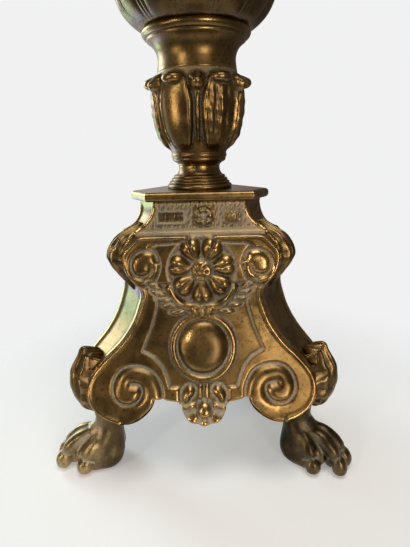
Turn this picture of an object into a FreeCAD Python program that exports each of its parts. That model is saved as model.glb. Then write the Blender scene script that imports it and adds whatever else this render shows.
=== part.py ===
import FreeCAD
import Part
import Sketcher
import math
import os

from FreeCAD import Matrix, Placement, Rotation, Vector

# A three-sided cast brass pricket candlestick: a scrolled tripod base on lion's paws, and a turned
# and cast stem clamped to it by one iron rod. Millimetres, +Z up, origin on the axis at floor level,
# one face of the base towards -Y.

SIZES = (
    # paw feet
    ("foot_height", 47.0),
    ("ankle_inset", 16.0),
    ("ankle_radius", 12.0),
    ("ankle_margin", 1.0),
    ("ankle_waist_radius", 10.2),
    ("heel_radius", 13.5),
    ("heel_height", 7.0),
    ("toe_length", 34.0),
    ("toe_radius", 7.2),
    ("toe_spread", 62.0),
    ("toe_count", 4),
    ("instep_width", 34.0),
    ("instep_height", 29.0),
    # scrolled base casting, zone by zone from the feet up
    ("pad_height", 2.0),
    ("lower_scroll_height", 42.0),
    ("lower_scroll_radius", 21.6),
    ("lower_scroll_reach", 94.0),
    ("lower_scroll_tuck", 16.0),
    ("lower_roll_rise", 4.4),
    ("flare_shoulder_rise", 2.4),
    ("flare_rise", 16.5),
    ("flare_inset", 10.5),
    ("flare_sweep", 6.3),
    ("waist_height", 42.0),
    ("waist_reach", 55.0),
    ("waist_drop", 5.0),
    ("waist_rise", 0.4),
    ("upper_scroll_height", 33.0),
    ("upper_scroll_radius", 12.5),
    ("upper_scroll_reach", 63.4),
    ("upper_scroll_shoulder", 54.0),
    ("upper_roll_rise", 2.6),
    ("upper_shoulder_rise", 3.0),
    ("architrave_height", 2.0),
    ("frieze_height", 19.0),
    ("frieze_reach", 41.0),
    ("frieze_apothem", 30.0),
    ("frieze_cavetto_height", 12.0),
    ("frieze_cavetto_rise", 4.0),
    ("panel_foot_apothem", 70.0),
    ("panel_waist_apothem", 40.2),
    ("panel_head_apothem", 34.5),
    ("panel_hollow", 7.2),
    ("panel_head_rise", 1.0),
    ("panel_skirt_rise", 0.6),
    ("panel_skirt_height", 11.0),
    ("casting_wall", 4.0),
    ("scroll_wall", 7.0),
    ("top_wall", 6.0),
    ("scroll_floor", 7.0),
    ("scroll_margin", 2.4),
    ("arch_setback", 1.5),
    # raised ornament of the base
    ("scroll_relief", 3.2),
    ("groove_width", 1.8),
    ("lower_eye_radius", 8.2),
    ("upper_eye_radius", 6.8),
    ("eye_height", 4.0),
    ("strap_relief", 1.6),
    ("strap_width", 9.5),
    ("strap_rise", 2.0),
    ("band_width", 4.0),
    ("boss_rise", 24.0),
    ("boss_half_width", 17.0),
    ("boss_half_height", 17.0),
    ("boss_height", 8.0),
    ("boss_ring_width", 4.6),
    ("boss_ring_relief", 2.6),
    ("boss_ring_channel", 1.0),
    ("flower_drop", 5.0),
    ("flower_radius", 20.0),
    ("flower_relief", 4.0),
    ("flower_petals", 7),
    ("flower_boss_radius", 6.1),
    ("flower_boss_height", 4.5),
    ("shell_radius", 14.6),
    ("shell_drop", 2.8),
    ("shell_relief", 4.0),
    ("shell_lobe_rise", 1.4),
    ("shell_lobes", 6),
    ("shell_bead_radius", 4.4),
    ("block_relief", 1.6),
    ("block_width", 13.0),
    ("block_height", 7.5),
    ("block_offset", 20.5),
    ("rosette_radius", 5.4),
    ("rosette_height", 2.4),
    ("corner_leaf_relief", 5.0),
    ("corner_leaf_width", 20.0),
    ("corner_leaf_length", 44.0),
    ("corner_leaf_lift", 3.0),
    ("corner_leaf_rise", 3.0),
    ("corner_leaf_curl_radius", 4.2),
    # cornice slab
    ("slab_thickness", 6.0),
    ("slab_apothem", 33.7),
    ("slab_half_width", 34.6),
    ("slab_round", 2.6),
    # clamped stem: rod, registers and clearances
    ("rod_radius", 5.0),
    ("rod_clearance", 0.5),
    ("thread_clearance", 0.05),
    ("register_radius", 9.0),
    ("register_height", 2.5),
    ("register_clearance", 0.15),
    ("register_end_clearance", 0.3),
    ("rod_tail", 6.0),
    ("rod_grip", 12.0),
    ("nut_circumradius", 10.0),
    ("nut_height", 8.0),
    ("washer_radius", 15.0),
    ("washer_thickness", 2.5),
    # foot screws
    ("screw_radius", 3.0),
    ("screw_clearance", 0.3),
    ("screw_head_radius", 5.5),
    ("screw_head_height", 4.0),
    ("screw_grip", 16.0),
    # socle
    ("socle_height", 15.2),
    ("socle_foot_radius", 20.5),
    ("socle_bead_height", 4.5),
    ("socle_bead_rise", 1.5),
    ("socle_fillet_radius", 18.8),
    ("socle_fillet_height", 1.6),
    ("socle_neck_radius", 14.1),
    ("socle_sweep", 1.8),
    # acanthus vase
    ("vase_height", 58.3),
    ("vase_collar_radius", 15.2),
    ("vase_collar_height", 5.0),
    ("vase_collar_rise", 1.3),
    ("vase_foot_radius", 14.4),
    ("vase_belly_radius", 27.2),
    ("vase_belly_height", 30.0),
    ("vase_belly_rise", 3.4),
    ("vase_lip_radius", 26.2),
    ("vase_wall", 4.0),
    ("leaf_count", 6),
    ("leaf_thickness", 2.4),
    ("leaf_width", 23.0),
    ("bud_width", 9.0),
    ("leaf_tip_radius", 36.8),
    ("leaf_tip_drop", 4.0),
    ("leaf_curl_height", 13.0),
    ("leaf_curl_rise", 1.6),
    ("leaf_edge_rise", 1.5),
    # neck ring
    ("neck_height", 25.0),
    ("neck_foot_radius", 26.2),
    ("neck_sweep", 2.6),
    ("neck_sweep_height", 13.5),
    ("neck_fillet_radius", 30.4),
    ("neck_fillet_height", 3.0),
    ("neck_bead_radius", 31.4),
    ("neck_bead_height", 7.5),
    ("neck_bead_rise", 3.2),
    # gadrooned bulb
    ("bulb_height", 66.0),
    ("bulb_foot_radius", 31.0),
    ("bulb_radius", 54.0),
    ("bulb_widest_height", 30.0),
    ("bulb_top_radius", 21.0),
    ("bulb_gadroons", 12),
    ("gadroon_depth", 3.6),
    ("bulb_wall", 5.0),
    # bulb collar
    ("collar_height", 8.5),
    ("collar_bead_radius", 19.5),
    ("collar_bead_height", 6.0),
    ("collar_bead_rise", 2.6),
    ("collar_top_radius", 16.5),
    # baluster stem
    ("stem_height", 112.0),
    ("stem_foot_radius", 15.0),
    ("stem_foot_height", 5.0),
    ("stem_foot_rise", 1.6),
    ("stem_neck_radius", 12.6),
    ("stem_swell_radius", 20.5),
    ("stem_swell_height", 36.0),
    ("stem_swell_rise", 4.0),
    ("stem_taper_radius", 11.4),
    ("stem_taper_rise", 3.5),
    ("stem_bead_radius", 13.2),
    ("stem_bead_height", 4.5),
    ("stem_bead_rise", 1.6),
    ("stem_top_radius", 12.2),
    ("stem_top_height", 5.0),
    # knop ring and upper knop
    ("knop_ring_height", 7.0),
    ("knop_ring_radius", 14.2),
    ("knop_ring_rise", 2.6),
    ("knop_height", 28.0),
    ("knop_foot_radius", 13.0),
    ("knop_foot_height", 2.0),
    ("knop_rise", 9.0),
    ("knop_shoulder_radius", 14.0),
    ("knop_top_radius", 12.4),
    # candle capital
    ("capital_height", 27.0),
    ("capital_foot_radius", 12.4),
    ("capital_bead_height", 4.0),
    ("capital_bead_rise", 1.6),
    ("capital_neck_radius", 12.0),
    ("capital_lip_radius", 31.0),
    ("capital_lip_height", 6.5),
    ("capital_lip_rise", 1.8),
    ("capital_flare", 4.6),
    # drip pan
    ("pan_seat_gap", 0.1),
    ("pan_radius", 57.0),
    ("pan_depth", 10.0),
    ("pan_floor_radius", 27.0),
    ("pan_wall", 2.2),
    ("pan_rim_width", 3.4),
    ("pan_flare", 2.4),
    ("pan_hole_clearance", 0.4),
    # pricket
    ("pricket_collar_radius", 9.0),
    ("pricket_collar_height", 5.0),
    ("pricket_collar_chamfer", 0.8),
    ("pricket_barrel_radius", 7.2),
    ("pricket_barrel_height", 11.0),
    ("pricket_shank_radius", 4.2),
    ("pricket_shank_length", 20.0),
    ("pricket_point_length", 52.0),
    ("pricket_point_radius", 0.5),
    ("pricket_socket_depth", 13.0),
)

SIDES = 3
REACH = 400.0
CORNER_TURN = 180.0 / SIDES
COS_CORNER = math.cos(math.radians(CORNER_TURN))
SIN_CORNER = math.sin(math.radians(CORNER_TURN))
AXIS = Vector(0, 0, 1)

doc = FreeCAD.newDocument("pricket_candlestick")
sheet = doc.addObject("Spreadsheet::Sheet", "Sizes")
for row, (alias, number) in enumerate(SIZES, start=1):
    sheet.set(f"A{row}", alias)
    sheet.set(f"B{row}", str(number))
    sheet.setAlias(f"B{row}", alias)
doc.recompute()


def size(alias):
    return float(sheet.get(alias))


def cell(alias):
    return f"Sizes.{alias}"


def value(expression):
    return float(sheet.evalExpression(expression))


# Levels of the stem, each the seat of one piece on the piece below it
BASE_ZONES = (
    "foot_height",
    "pad_height",
    "lower_scroll_height",
    "waist_height",
    "upper_scroll_height",
    "architrave_height",
    "frieze_height",
)
STEM_PIECES = (
    ("cornice_slab", "slab_thickness"),
    ("socle", "socle_height"),
    ("acanthus_vase", "vase_height"),
    ("neck_ring", "neck_height"),
    ("gadrooned_bulb", "bulb_height"),
    ("bulb_collar", "collar_height"),
    ("baluster_stem", "stem_height"),
    ("knop_ring", "knop_ring_height"),
    ("upper_knop", "knop_height"),
    ("candle_capital", "capital_height"),
)
base_top = " + ".join(cell(zone) for zone in BASE_ZONES)
seats = {}
stack_level = base_top
for piece, height in STEM_PIECES:
    seats[piece] = stack_level
    stack_level = f"{stack_level} + {cell(height)}"
seats["drip_pan"] = f"{stack_level} + {cell('pan_seat_gap')}"
seats["pricket_spike"] = stack_level

rod_bore = f"({cell('rod_radius')} + {cell('rod_clearance')})"
thread_bore = f"({cell('rod_radius')} + {cell('thread_clearance')})"
socket_radius = f"({cell('register_radius')} + {cell('register_clearance')})"
socket_depth = f"({cell('register_height')} + {cell('register_end_clearance')})"


def arc_middle(start, end, rise):
    """The middle of an arc that stands `rise` to the right of the chord from start to end."""
    chord = end - start
    right = Vector(chord.y, -chord.x, 0)
    right.normalize()
    return (start + end) * 0.5 + right * rise


def flat_wire(points):
    """A closed wire in the XY plane through (u, v) points, where (u, v, rise) is reached by an arc."""
    corners = [Vector(point[0], point[1], 0) for point in points]
    edges = []
    for index, corner in enumerate(corners):
        following = (index + 1) % len(points)
        target = corners[following]
        if len(points[following]) > 2:
            middle = arc_middle(corner, target, points[following][2])
            edges.append(Part.Arc(corner, middle, target).toShape())
        else:
            edges.append(Part.LineSegment(corner, target).toShape())
    return Part.Wire(edges)


# From a drawing's (u, v) to the side section (out of the face, up) and to the front elevation (across, up)
SIDE_PLANE = Matrix(0, 0, -1, 0, -1, 0, 0, 0, 0, 1, 0, 0, 0, 0, 0, 1)
FRONT_PLANE = Matrix(1, 0, 0, 0, 0, 0, -1, 0, 0, 1, 0, 0, 0, 0, 0, 1)


def side_prism(points, half_span):
    """A side section (out of the face, up) drawn out to both sides of the axis."""
    face = Part.Face(flat_wire(points))
    face.Placement = Placement(SIDE_PLANE)
    face.translate(Vector(-half_span, 0, 0))
    return face.extrude(Vector(2 * half_span, 0, 0))


def front_prism(points, near, far):
    """A front elevation (across, up) drawn out from `near` to `far` in front of the axis."""
    face = Part.Face(flat_wire(points))
    face.Placement = Placement(FRONT_PLANE)
    face.translate(Vector(0, -near, 0))
    return face.extrude(Vector(0, near - far, 0))


def turned_copies(shape, first_turn=0.0):
    """The shape three times round the axis."""
    copies = []
    for side in range(SIDES):
        copy = shape.copy()
        copy.rotate(Vector(0, 0, 0), AXIS, first_turn + side * 360.0 / SIDES)
        copies.append(copy)
    return copies


def mirrored(shape):
    return shape.mirror(Vector(0, 0, 0), Vector(1, 0, 0))


# A button's waist and crown as shares of its radius, and its skirt as a share of its height
BUTTON_WAIST = 0.72
BUTTON_CROWN = 0.3
BUTTON_SKIRT = 0.6


def button(radius, height, foot):
    """A turned button standing out of the front face from `foot`, its crown rounded by two cones."""
    out = Vector(0, -1, 0)
    waist = BUTTON_WAIST * radius
    low = BUTTON_SKIRT * height
    drum = Part.makeCylinder(radius, radius, foot - out * radius, out)
    skirt = Part.makeCone(radius, waist, low, foot, out)
    crown = Part.makeCone(waist, BUTTON_CROWN * radius, height - low, foot + out * low, out)
    return drum.fuse([skirt, crown]).removeSplitter()


def feature(label, shape):
    piece = doc.addObject("Part::Feature", label)
    piece.Shape = shape
    piece.Placement = Placement()
    return piece


ROUND_CUTS = 4


def faceted(outline):
    """An outline of expressions with each round, a point with a rise, as a run of straight cuts."""
    cuts = []
    for index, point in enumerate(outline):
        start = outline[index - 1]
        if len(point) > 2:
            across = f"(({point[0]}) - ({start[0]}))"
            up = f"(({point[1]}) - ({start[1]}))"
            for step in range(1, ROUND_CUTS):
                share = step / ROUND_CUTS
                bow = f"{4 * share * (1 - share)} * ({point[2]}) / sqrt({across}^2 + {up}^2)"
                radius = f"({start[0]}) + {share} * {across} + {bow} * {up}"
                height = f"({start[1]}) + {share} * {up} - {bow} * {across}"
                cuts.append((radius, height))
        cuts.append((point[0], point[1]))
    return cuts


def turned_body(label, outline, seat):
    """A lathe-turned piece: a half section of (radius, height[, rise]) points spun about the axis."""
    body = doc.addObject("PartDesign::Body", label)
    sketch = body.newObject("Sketcher::SketchObject", f"{label}_section")
    plane = next(item for item in body.Origin.OriginFeatures if item.Role == "XZ_Plane")
    sketch.AttachmentSupport = [(plane, "")]
    sketch.MapMode = "FlatFace"
    draw_outline(sketch, faceted(outline))
    doc.recompute()
    turning = body.newObject("PartDesign::Revolution", f"{label}_turning")
    turning.Profile = sketch
    turning.ReferenceAxis = (sketch, ["V_Axis"])
    turning.Angle = 360.0
    body.setExpression("Placement.Base.z", seat)
    return body


def draw_outline(sketch, corners):
    """A closed run of lines whose corners are held by (across, up) expressions."""
    places = [Vector(value(across), value(up), 0) for across, up in corners]
    for index, place in enumerate(places):
        sketch.addGeometry(Part.LineSegment(place, places[(index + 1) % len(places)]), False)
    for index in range(len(corners)):
        following = (index + 1) % len(corners)
        sketch.addConstraint(Sketcher.Constraint("Coincident", index, 2, following, 1))
    for index, (across, up) in enumerate(corners):
        number = sketch.addConstraint(Sketcher.Constraint("DistanceX", -1, 1, index, 1, places[index].x))
        sketch.setExpression(f"Constraints[{number}]", across)
        number = sketch.addConstraint(Sketcher.Constraint("DistanceY", -1, 1, index, 1, places[index].y))
        sketch.setExpression(f"Constraints[{number}]", up)


def spun(outline):
    """A solid of revolution of a half section of (radius, height[, rise]) expressions."""
    face = Part.Face(flat_wire([(value(radius), value(height)) for radius, height in faceted(outline)]))
    face.Placement = Placement(FRONT_PLANE)
    return face.revolve(Vector(0, 0, 0), AXIS, 360.0)


def stem_outline(outer, height, socket=True, spigot=True):
    """The outer profile of a stem piece closed by its rod bore, its socket below and its spigot above."""
    outline = list(outer)
    if spigot:
        outline.append((cell("register_radius"), height))
        outline.append((cell("register_radius"), f"{height} + {cell('register_height')}"))
        outline.append((rod_bore, f"{height} + {cell('register_height')}"))
    else:
        outline.append((rod_bore, height))
    if socket:
        outline.append((rod_bore, socket_depth))
        outline.append((socket_radius, socket_depth))
        outline.append((socket_radius, "0"))
    else:
        outline.append((rod_bore, "0"))
    return outline


# Levels of the base casting, from the floor
seat_level = size("foot_height")
under_level = seat_level + size("pad_height")
lower_level = under_level + size("lower_scroll_height") / 2
flare_level = lower_level + size("flare_rise")
upper_foot = under_level + size("lower_scroll_height") + size("waist_height")
upper_level = upper_foot + size("upper_scroll_height") / 2
waist_level = upper_foot - size("waist_drop")
upper_head = upper_foot + size("upper_scroll_height")
frieze_foot = upper_head + size("architrave_height")
top_level = frieze_foot + size("frieze_height")
ankle_reach = size("lower_scroll_reach") - size("ankle_inset")


def face_section(offset):
    """Side section of one of the three faces: a hollow curved panel, an architrave and a plain frieze."""
    return [
        (-REACH, under_level),
        (size("panel_foot_apothem") + offset, under_level),
        (size("panel_waist_apothem") + offset, upper_level - size("flower_drop"), -size("panel_hollow")),
        (size("panel_head_apothem") + offset, upper_head, size("panel_head_rise")),
        (size("panel_head_apothem") + offset, frieze_foot),
        (size("frieze_apothem") + offset, frieze_foot),
        (size("frieze_apothem") + offset, top_level),
        (-REACH, top_level),
    ]


def corner_section(offset):
    """Side section of one of the three scrolled corners: roll, hollow flare, waist, small roll, cavetto."""
    reach = size("lower_scroll_reach") + offset
    waist = size("waist_reach") + offset
    shoulder = size("upper_scroll_shoulder") + offset
    frieze = size("frieze_reach") + offset
    return [
        (-REACH, under_level),
        (reach - size("lower_scroll_tuck"), under_level),
        (reach, lower_level, size("lower_roll_rise")),
        (reach - size("flare_inset"), flare_level, size("flare_shoulder_rise")),
        (waist, waist_level, -size("flare_sweep")),
        (waist, upper_foot, -size("waist_rise")),
        (size("upper_scroll_reach") + offset, upper_level, size("upper_roll_rise")),
        (shoulder, upper_head, size("upper_shoulder_rise")),
        (shoulder, frieze_foot),
        (frieze, frieze_foot + size("frieze_cavetto_height"), -size("frieze_cavetto_rise")),
        (frieze, top_level),
        (-REACH, top_level),
    ]


def face_prism(offset):
    """The front face, raised by an offset, drawn out to both sides."""
    return side_prism(face_section(offset), REACH)


def corner_prisms():
    return turned_copies(side_prism(corner_section(0.0), REACH), CORNER_TURN)


def tripod():
    """The solid common to the three plain faces and the three scrolled corners."""
    solid = None
    for part in turned_copies(face_prism(0.0)) + corner_prisms():
        solid = part if solid is None else solid.common(part)
    return solid


def panel_apothem(level):
    """How far the plain panel stands from the axis at a level."""
    foot = Vector(size("panel_foot_apothem"), under_level, 0)
    head = Vector(size("panel_waist_apothem"), upper_level - size("flower_drop"), 0)
    rise = size("panel_hollow")
    chord = head - foot
    radius = (chord.Length ** 2 / 4 + rise ** 2) / (2 * rise)
    right = Vector(chord.y, -chord.x, 0)
    right.normalize()
    centre = (foot + head) * 0.5 + right * (radius - rise)
    return centre.x - math.sqrt(radius ** 2 - (level - centre.y) ** 2)


def panel_half_width(level, reach):
    """Half the width of a face where its corner stands `reach` from the axis."""
    return (reach - COS_CORNER * panel_apothem(level)) / SIN_CORNER


lower_across = (
    panel_half_width(lower_level, size("lower_scroll_reach"))
    - size("lower_scroll_radius")
    - size("scroll_margin")
)
upper_across = (
    panel_half_width(upper_level, size("upper_scroll_reach")) - size("upper_scroll_radius")
)


# The rise of a half round over its radius, just short of a full half circle
HALF_ROUND = 0.999


def round_points(across, level, radius):
    return [
        (across - radius, level, radius * HALF_ROUND),
        (across + radius, level, radius * HALF_ROUND),
    ]


def oval_points(level, wide, tall):
    """An oval of four arcs round the middle of a face."""
    point = math.sqrt(0.5)
    side_rise = wide * (1 - point)
    end_rise = tall * (1 - point)
    return [
        (-wide * point, level - tall * point, side_rise),
        (wide * point, level - tall * point, end_rise),
        (wide * point, level + tall * point, side_rise),
        (-wide * point, level + tall * point, end_rise),
    ]


def spiral_points(across, level, outer, inner):
    """A groove winding inwards: over the top, under the eye and up beside it."""
    pitch = (outer - inner) / 2
    width = size("groove_width")
    first = across - pitch / 2
    second = across + pitch / 2
    middle = outer - pitch
    return [
        (first - outer, level),
        (first + outer, level, -outer * HALF_ROUND),
        (second - middle, level, -middle * HALF_ROUND),
        (second - middle + width, level),
        (second + middle - width, level, (middle - width) * HALF_ROUND),
        (first - outer + width, level, (outer - width) * HALF_ROUND),
    ]


# A petal: its root as a share of the button, its shoulders and notch as shares of its length, its
# stalk as a share of its width, the roundness of its lobes, and the degrees shared out among the petals
PETAL_ROOT = 0.9
PETAL_SHOULDER = 0.78
PETAL_NOTCH = 0.9
PETAL_STALK = 0.5
PETAL_LOBE = 0.75
PETAL_SPAN = 150.0


def petal_points(angle, level):
    """One two-lobed petal of the flower, pointing away from its middle."""
    root = size("flower_boss_radius") * PETAL_ROOT
    tip = size("flower_radius")
    half = math.radians(PETAL_SPAN / size("flower_petals"))

    def at(radius, turn):
        return (radius * math.cos(angle + turn), level + radius * math.sin(angle + turn))

    lobe = tip * math.sin(half / 2) * PETAL_LOBE
    return [
        at(root, -half * PETAL_STALK),
        at(tip * PETAL_SHOULDER, -half),
        (*at(tip * PETAL_NOTCH, 0.0), lobe),
        (*at(tip * PETAL_SHOULDER, half), lobe),
        at(root, half * PETAL_STALK),
    ]


# The shell's depth and the height of its root, as shares of its radius
SHELL_DEPTH = 0.8
SHELL_ROOT = 0.5


def shell_points(level):
    """The pendant shell under the panel: a fan of round lobes below a straight top."""
    radius = size("shell_radius")
    lobes = int(size("shell_lobes"))
    points = [(-radius, level)]
    for lobe in range(1, lobes + 1):
        angle = math.pi + math.pi * lobe / lobes
        across = radius * math.cos(angle)
        drop = SHELL_DEPTH * radius * math.sin(angle)
        points.append((across, level + drop, size("shell_lobe_rise")))
    points.append((radius, level + radius * SHELL_ROOT))
    points.append((-radius, level + radius * SHELL_ROOT))
    return points


def raised_work(points, top, relief):
    """An outline of the front elevation raised on the face, rooted just under the surface at its top."""
    root = panel_apothem(top) - size("casting_wall") / 2
    return front_prism(points, root, REACH).common(face_prism(relief))


def between_corners(shape):
    """The shape trimmed flush with the two corners beside the front face."""
    right, rear, left = corner_prisms()
    return shape.common(right).common(left)


# A scroll's groove starts at a share of the roll and ends at a share of the eye, which sits off centre
GROOVE_START = 0.84
GROOVE_END = 0.9
EYE_SHIFT = 0.2


def scroll_work(across, level, radius, eye):
    """One scroll of a face: a raised round with a groove winding in to a domed eye."""
    roll = raised_work(round_points(across, level, radius), level + radius, size("scroll_relief"))
    groove = front_prism(spiral_points(across, level, radius * GROOVE_START, eye * GROOVE_END), 0.0, REACH)
    roll = roll.cut(groove.cut(face_prism(size("strap_relief"))))
    shift = eye * EYE_SHIFT
    foot = Vector(across + shift, -panel_apothem(level) - size("scroll_relief"), level - shift)
    return between_corners(roll).fuse(button(eye, size("eye_height"), foot))


# Sections of the boss: share of its outline and share of its height
BOSS_STEPS = ((1.0, -1.0), (1.0, 0.25), (0.86, 0.6), (0.6, 0.88), (0.25, 1.0))


def boss_work(level):
    """The oval boss in the middle of a face, swelling in three steps, and the raised ring round it."""
    wide = size("boss_half_width")
    tall = size("boss_half_height")
    rim = size("boss_ring_width")
    channel = size("boss_ring_channel")
    slope = math.degrees(math.atan2(panel_apothem(level - tall) - panel_apothem(level + tall), 2 * tall))
    sections = []
    for share, lift in BOSS_STEPS:
        section = flat_wire(oval_points(0.0, wide * share, tall * share))
        section.Placement = Placement(FRONT_PLANE)
        section.translate(Vector(0, -lift * size("boss_height"), 0))
        sections.append(section)
    boss = Part.makeLoft(sections, True, True)
    centre = Vector(0, -panel_apothem(level), level)
    boss.Placement = Placement(centre, Rotation(Vector(1, 0, 0), -slope))
    ring_top = level + tall + rim
    ring = raised_work(oval_points(level, wide + rim, tall + rim), ring_top, size("boss_ring_relief"))
    inner = front_prism(oval_points(level, wide + channel, tall + channel), 0.0, REACH)
    return [boss, ring.cut(inner)]


def flower_work(level):
    """The open flower at the head of a face: petals round a button."""
    petals = int(size("flower_petals"))
    work = []
    for petal in range(petals):
        angle = -math.pi / 2 + 2 * math.pi * petal / petals
        outline = petal_points(angle, level)
        work.append(raised_work(outline, level, size("flower_relief")))
    foot = Vector(0, -panel_apothem(level) - size("strap_relief"), level)
    return work + [button(size("flower_boss_radius"), size("flower_boss_height"), foot)]


def shell_work(level):
    """The pendant shell on the lower edge of a face, with its bead."""
    out = panel_apothem(level)
    relief = size("shell_relief")
    fan = front_prism(shell_points(level - size("shell_drop")), out - size("casting_wall"), out + relief)
    foot = Vector(0, -out - relief, level - size("shell_drop"))
    return [fan, button(size("shell_bead_radius"), size("shell_bead_radius"), foot)]


def frieze_work(level):
    """Two raised blocks and a round rosette on the frieze."""
    half_width = size("block_width") / 2
    half_height = size("block_height") / 2
    near = size("block_offset") - half_width
    far = size("block_offset") + half_width
    outline = [
        (near, level - half_height),
        (far, level - half_height),
        (far, level + half_height),
        (near, level + half_height),
    ]
    root = size("frieze_apothem") - size("casting_wall") / 2
    block = front_prism(outline, root, size("frieze_apothem") + size("block_relief"))
    rosette = button(
        size("rosette_radius"), size("rosette_height"), Vector(0, -size("frieze_apothem"), level)
    )
    return [block, mirrored(block), rosette]


def face_ornament():
    """Raised work of one face, from the pendant shell up to the frieze."""
    lower = scroll_work(
        lower_across, lower_level, size("lower_scroll_radius"), size("lower_eye_radius")
    )
    upper = scroll_work(
        upper_across, upper_level, size("upper_scroll_radius"), size("upper_eye_radius")
    )
    waist_half = panel_half_width(waist_level, size("waist_reach"))
    strap_foot = lower_level + size("lower_scroll_radius") / 2
    strap = [
        (waist_half - size("strap_width"), upper_level),
        (lower_across - size("strap_width"), strap_foot, -size("strap_rise")),
        (REACH, strap_foot),
        (REACH, upper_level),
    ]
    strap = between_corners(raised_work(strap, upper_foot, size("strap_relief")))
    band = [
        (upper_across / 2, upper_head - size("band_width")),
        (upper_across, upper_level + size("upper_scroll_radius") - size("band_width"), -size("strap_rise")),
        (REACH, upper_level),
        (REACH, upper_head),
        (upper_across / 2, upper_head),
    ]
    band = between_corners(raised_work(band, upper_head, size("strap_relief")))
    ornament = []
    for work in (lower, upper, strap, band):
        ornament.append(work)
        ornament.append(mirrored(work))
    ornament += boss_work(lower_level + size("boss_rise"))
    ornament += flower_work(upper_level - size("flower_drop"))
    ornament += shell_work(under_level + size("panel_skirt_height"))
    ornament += frieze_work(frieze_foot + size("frieze_height") / 2)
    return ornament[0].fuse(ornament[1:])


# A corner leaf's foot, head and curl, as shares of its half width
CORNER_LEAF_FOOT = 0.4
CORNER_LEAF_HEAD = 0.7
CORNER_LEAF_CURL = 1.4


def corner_leaf():
    """The acanthus leaf that climbs the roll of a corner and turns its tip outwards."""
    half = size("corner_leaf_width") / 2
    foot = under_level + size("corner_leaf_lift")
    tip = foot + size("corner_leaf_length")
    outline = [
        (-half * CORNER_LEAF_FOOT, foot, size("corner_leaf_rise")),
        (half * CORNER_LEAF_FOOT, foot),
        (half * CORNER_LEAF_HEAD, tip, size("corner_leaf_rise")),
        (-half * CORNER_LEAF_HEAD, tip),
    ]
    blade = side_prism(corner_section(size("corner_leaf_relief")), half * 2)
    blade = blade.common(front_prism(outline, size("waist_reach"), REACH))
    curl_length = half * CORNER_LEAF_CURL
    curl_reach = size("lower_scroll_reach") - size("flare_inset") - size("corner_leaf_curl_radius") / 2
    curl = Part.makeCylinder(
        size("corner_leaf_curl_radius"),
        curl_length,
        Vector(-curl_length / 2, -curl_reach, tip - size("corner_leaf_curl_radius")),
        Vector(1, 0, 0),
    )
    return blade.fuse(curl)


def cavity():
    """The hollow of the base, open below, with a floor left in each roll for its foot screw."""
    wall = size("casting_wall")
    ceiling = top_level - size("top_wall")
    floor = under_level + size("scroll_floor")
    drain = under_level - size("foot_height") / 2
    faces = face_section(-wall)
    faces[0] = (-REACH, drain)
    faces[1] = (size("panel_foot_apothem") - wall, drain)
    faces.insert(2, (size("panel_foot_apothem") - wall, under_level))
    faces[-2] = (faces[-2][0], ceiling)
    faces[-1] = (-REACH, ceiling)
    roll_reach = size("lower_scroll_reach") - size("scroll_wall")
    inner_reach = ankle_reach - size("ankle_radius") - size("ankle_margin")
    waist = size("waist_reach") - size("scroll_wall")
    frieze = size("frieze_reach") - size("casting_wall")
    corner = [
        (-REACH, drain),
        (inner_reach, drain),
        (inner_reach, floor),
        (roll_reach, floor),
        (roll_reach, lower_level),
        (waist, waist_level, -size("flare_sweep")),
        (waist, upper_head),
        (frieze, frieze_foot),
        (frieze, ceiling),
        (-REACH, ceiling),
    ]
    hollow = None
    for piece in turned_copies(side_prism(faces, REACH)) + turned_copies(
        side_prism(corner, REACH), CORNER_TURN
    ):
        hollow = piece if hollow is None else hollow.common(piece)
    return hollow


# Degrees round a scroll where the arch beside it springs
ARCH_SPRING = 200.0


def arch_cutter():
    """The open arch under one face, between the rolls of its two scrolls."""
    radius = size("lower_scroll_radius") - size("arch_setback")
    spring = math.radians(ARCH_SPRING)
    side = (lower_across + radius * math.cos(spring), lower_level + radius * math.sin(spring))
    toe = (lower_across, lower_level - radius)
    chord = math.hypot(side[0] - toe[0], side[1] - toe[1])
    rise = radius - math.sqrt(radius ** 2 - chord ** 2 / 4)
    crown = under_level + size("panel_skirt_height")
    drain = under_level - size("foot_height") / 2
    points = [
        (-toe[0], drain),
        (toe[0], drain),
        toe,
        (*side, -rise),
        (0.0, crown, -size("panel_skirt_rise")),
        (-side[0], side[1], -size("panel_skirt_rise")),
        (-toe[0], toe[1], -rise),
    ]
    return front_prism(points, 0.0, REACH)


def base_casting():
    outer = tripod()
    leaves = turned_copies(corner_leaf(), CORNER_TURN)
    pads = turned_copies(
        Part.makeCylinder(
            size("ankle_radius"),
            size("pad_height") + size("scroll_floor"),
            Vector(0, -ankle_reach, seat_level),
        ),
        CORNER_TURN,
    )
    outer = outer.fuse(leaves)
    outer = outer.cut(turned_copies(arch_cutter()))
    outer = outer.fuse(pads)
    casting = outer.fuse(turned_copies(face_ornament())).cut(cavity())
    bore = Part.makeCylinder(value(rod_bore), REACH, Vector(0, 0, under_level))
    screw_holes = turned_copies(
        Part.makeCylinder(
            size("screw_radius") + size("screw_clearance"),
            size("foot_height"),
            Vector(0, -ankle_reach, seat_level - size("foot_height") / 2),
        ),
        CORNER_TURN,
    )
    return casting.cut([bore] + screw_holes).removeSplitter()


MOUND_CUTS = 8


def paw_mound(stations, turn):
    """A long flat-soled mound from the ankle outwards, through (along, half width, height) stations."""
    sections = []
    for along, half, tall in stations:
        section = []
        for cut in range(MOUND_CUTS + 1):
            angle = math.pi * cut / MOUND_CUTS
            section.append(Vector(half * math.cos(angle), -along, tall * math.sin(angle)))
        sections.append(Part.makePolygon(section + section[:1]))
    mound = Part.makeLoft(sections, True, True)
    mound.rotate(Vector(0, 0, 0), AXIS, turn)
    mound.translate(Vector(0, -ankle_reach, 0))
    return mound


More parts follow.
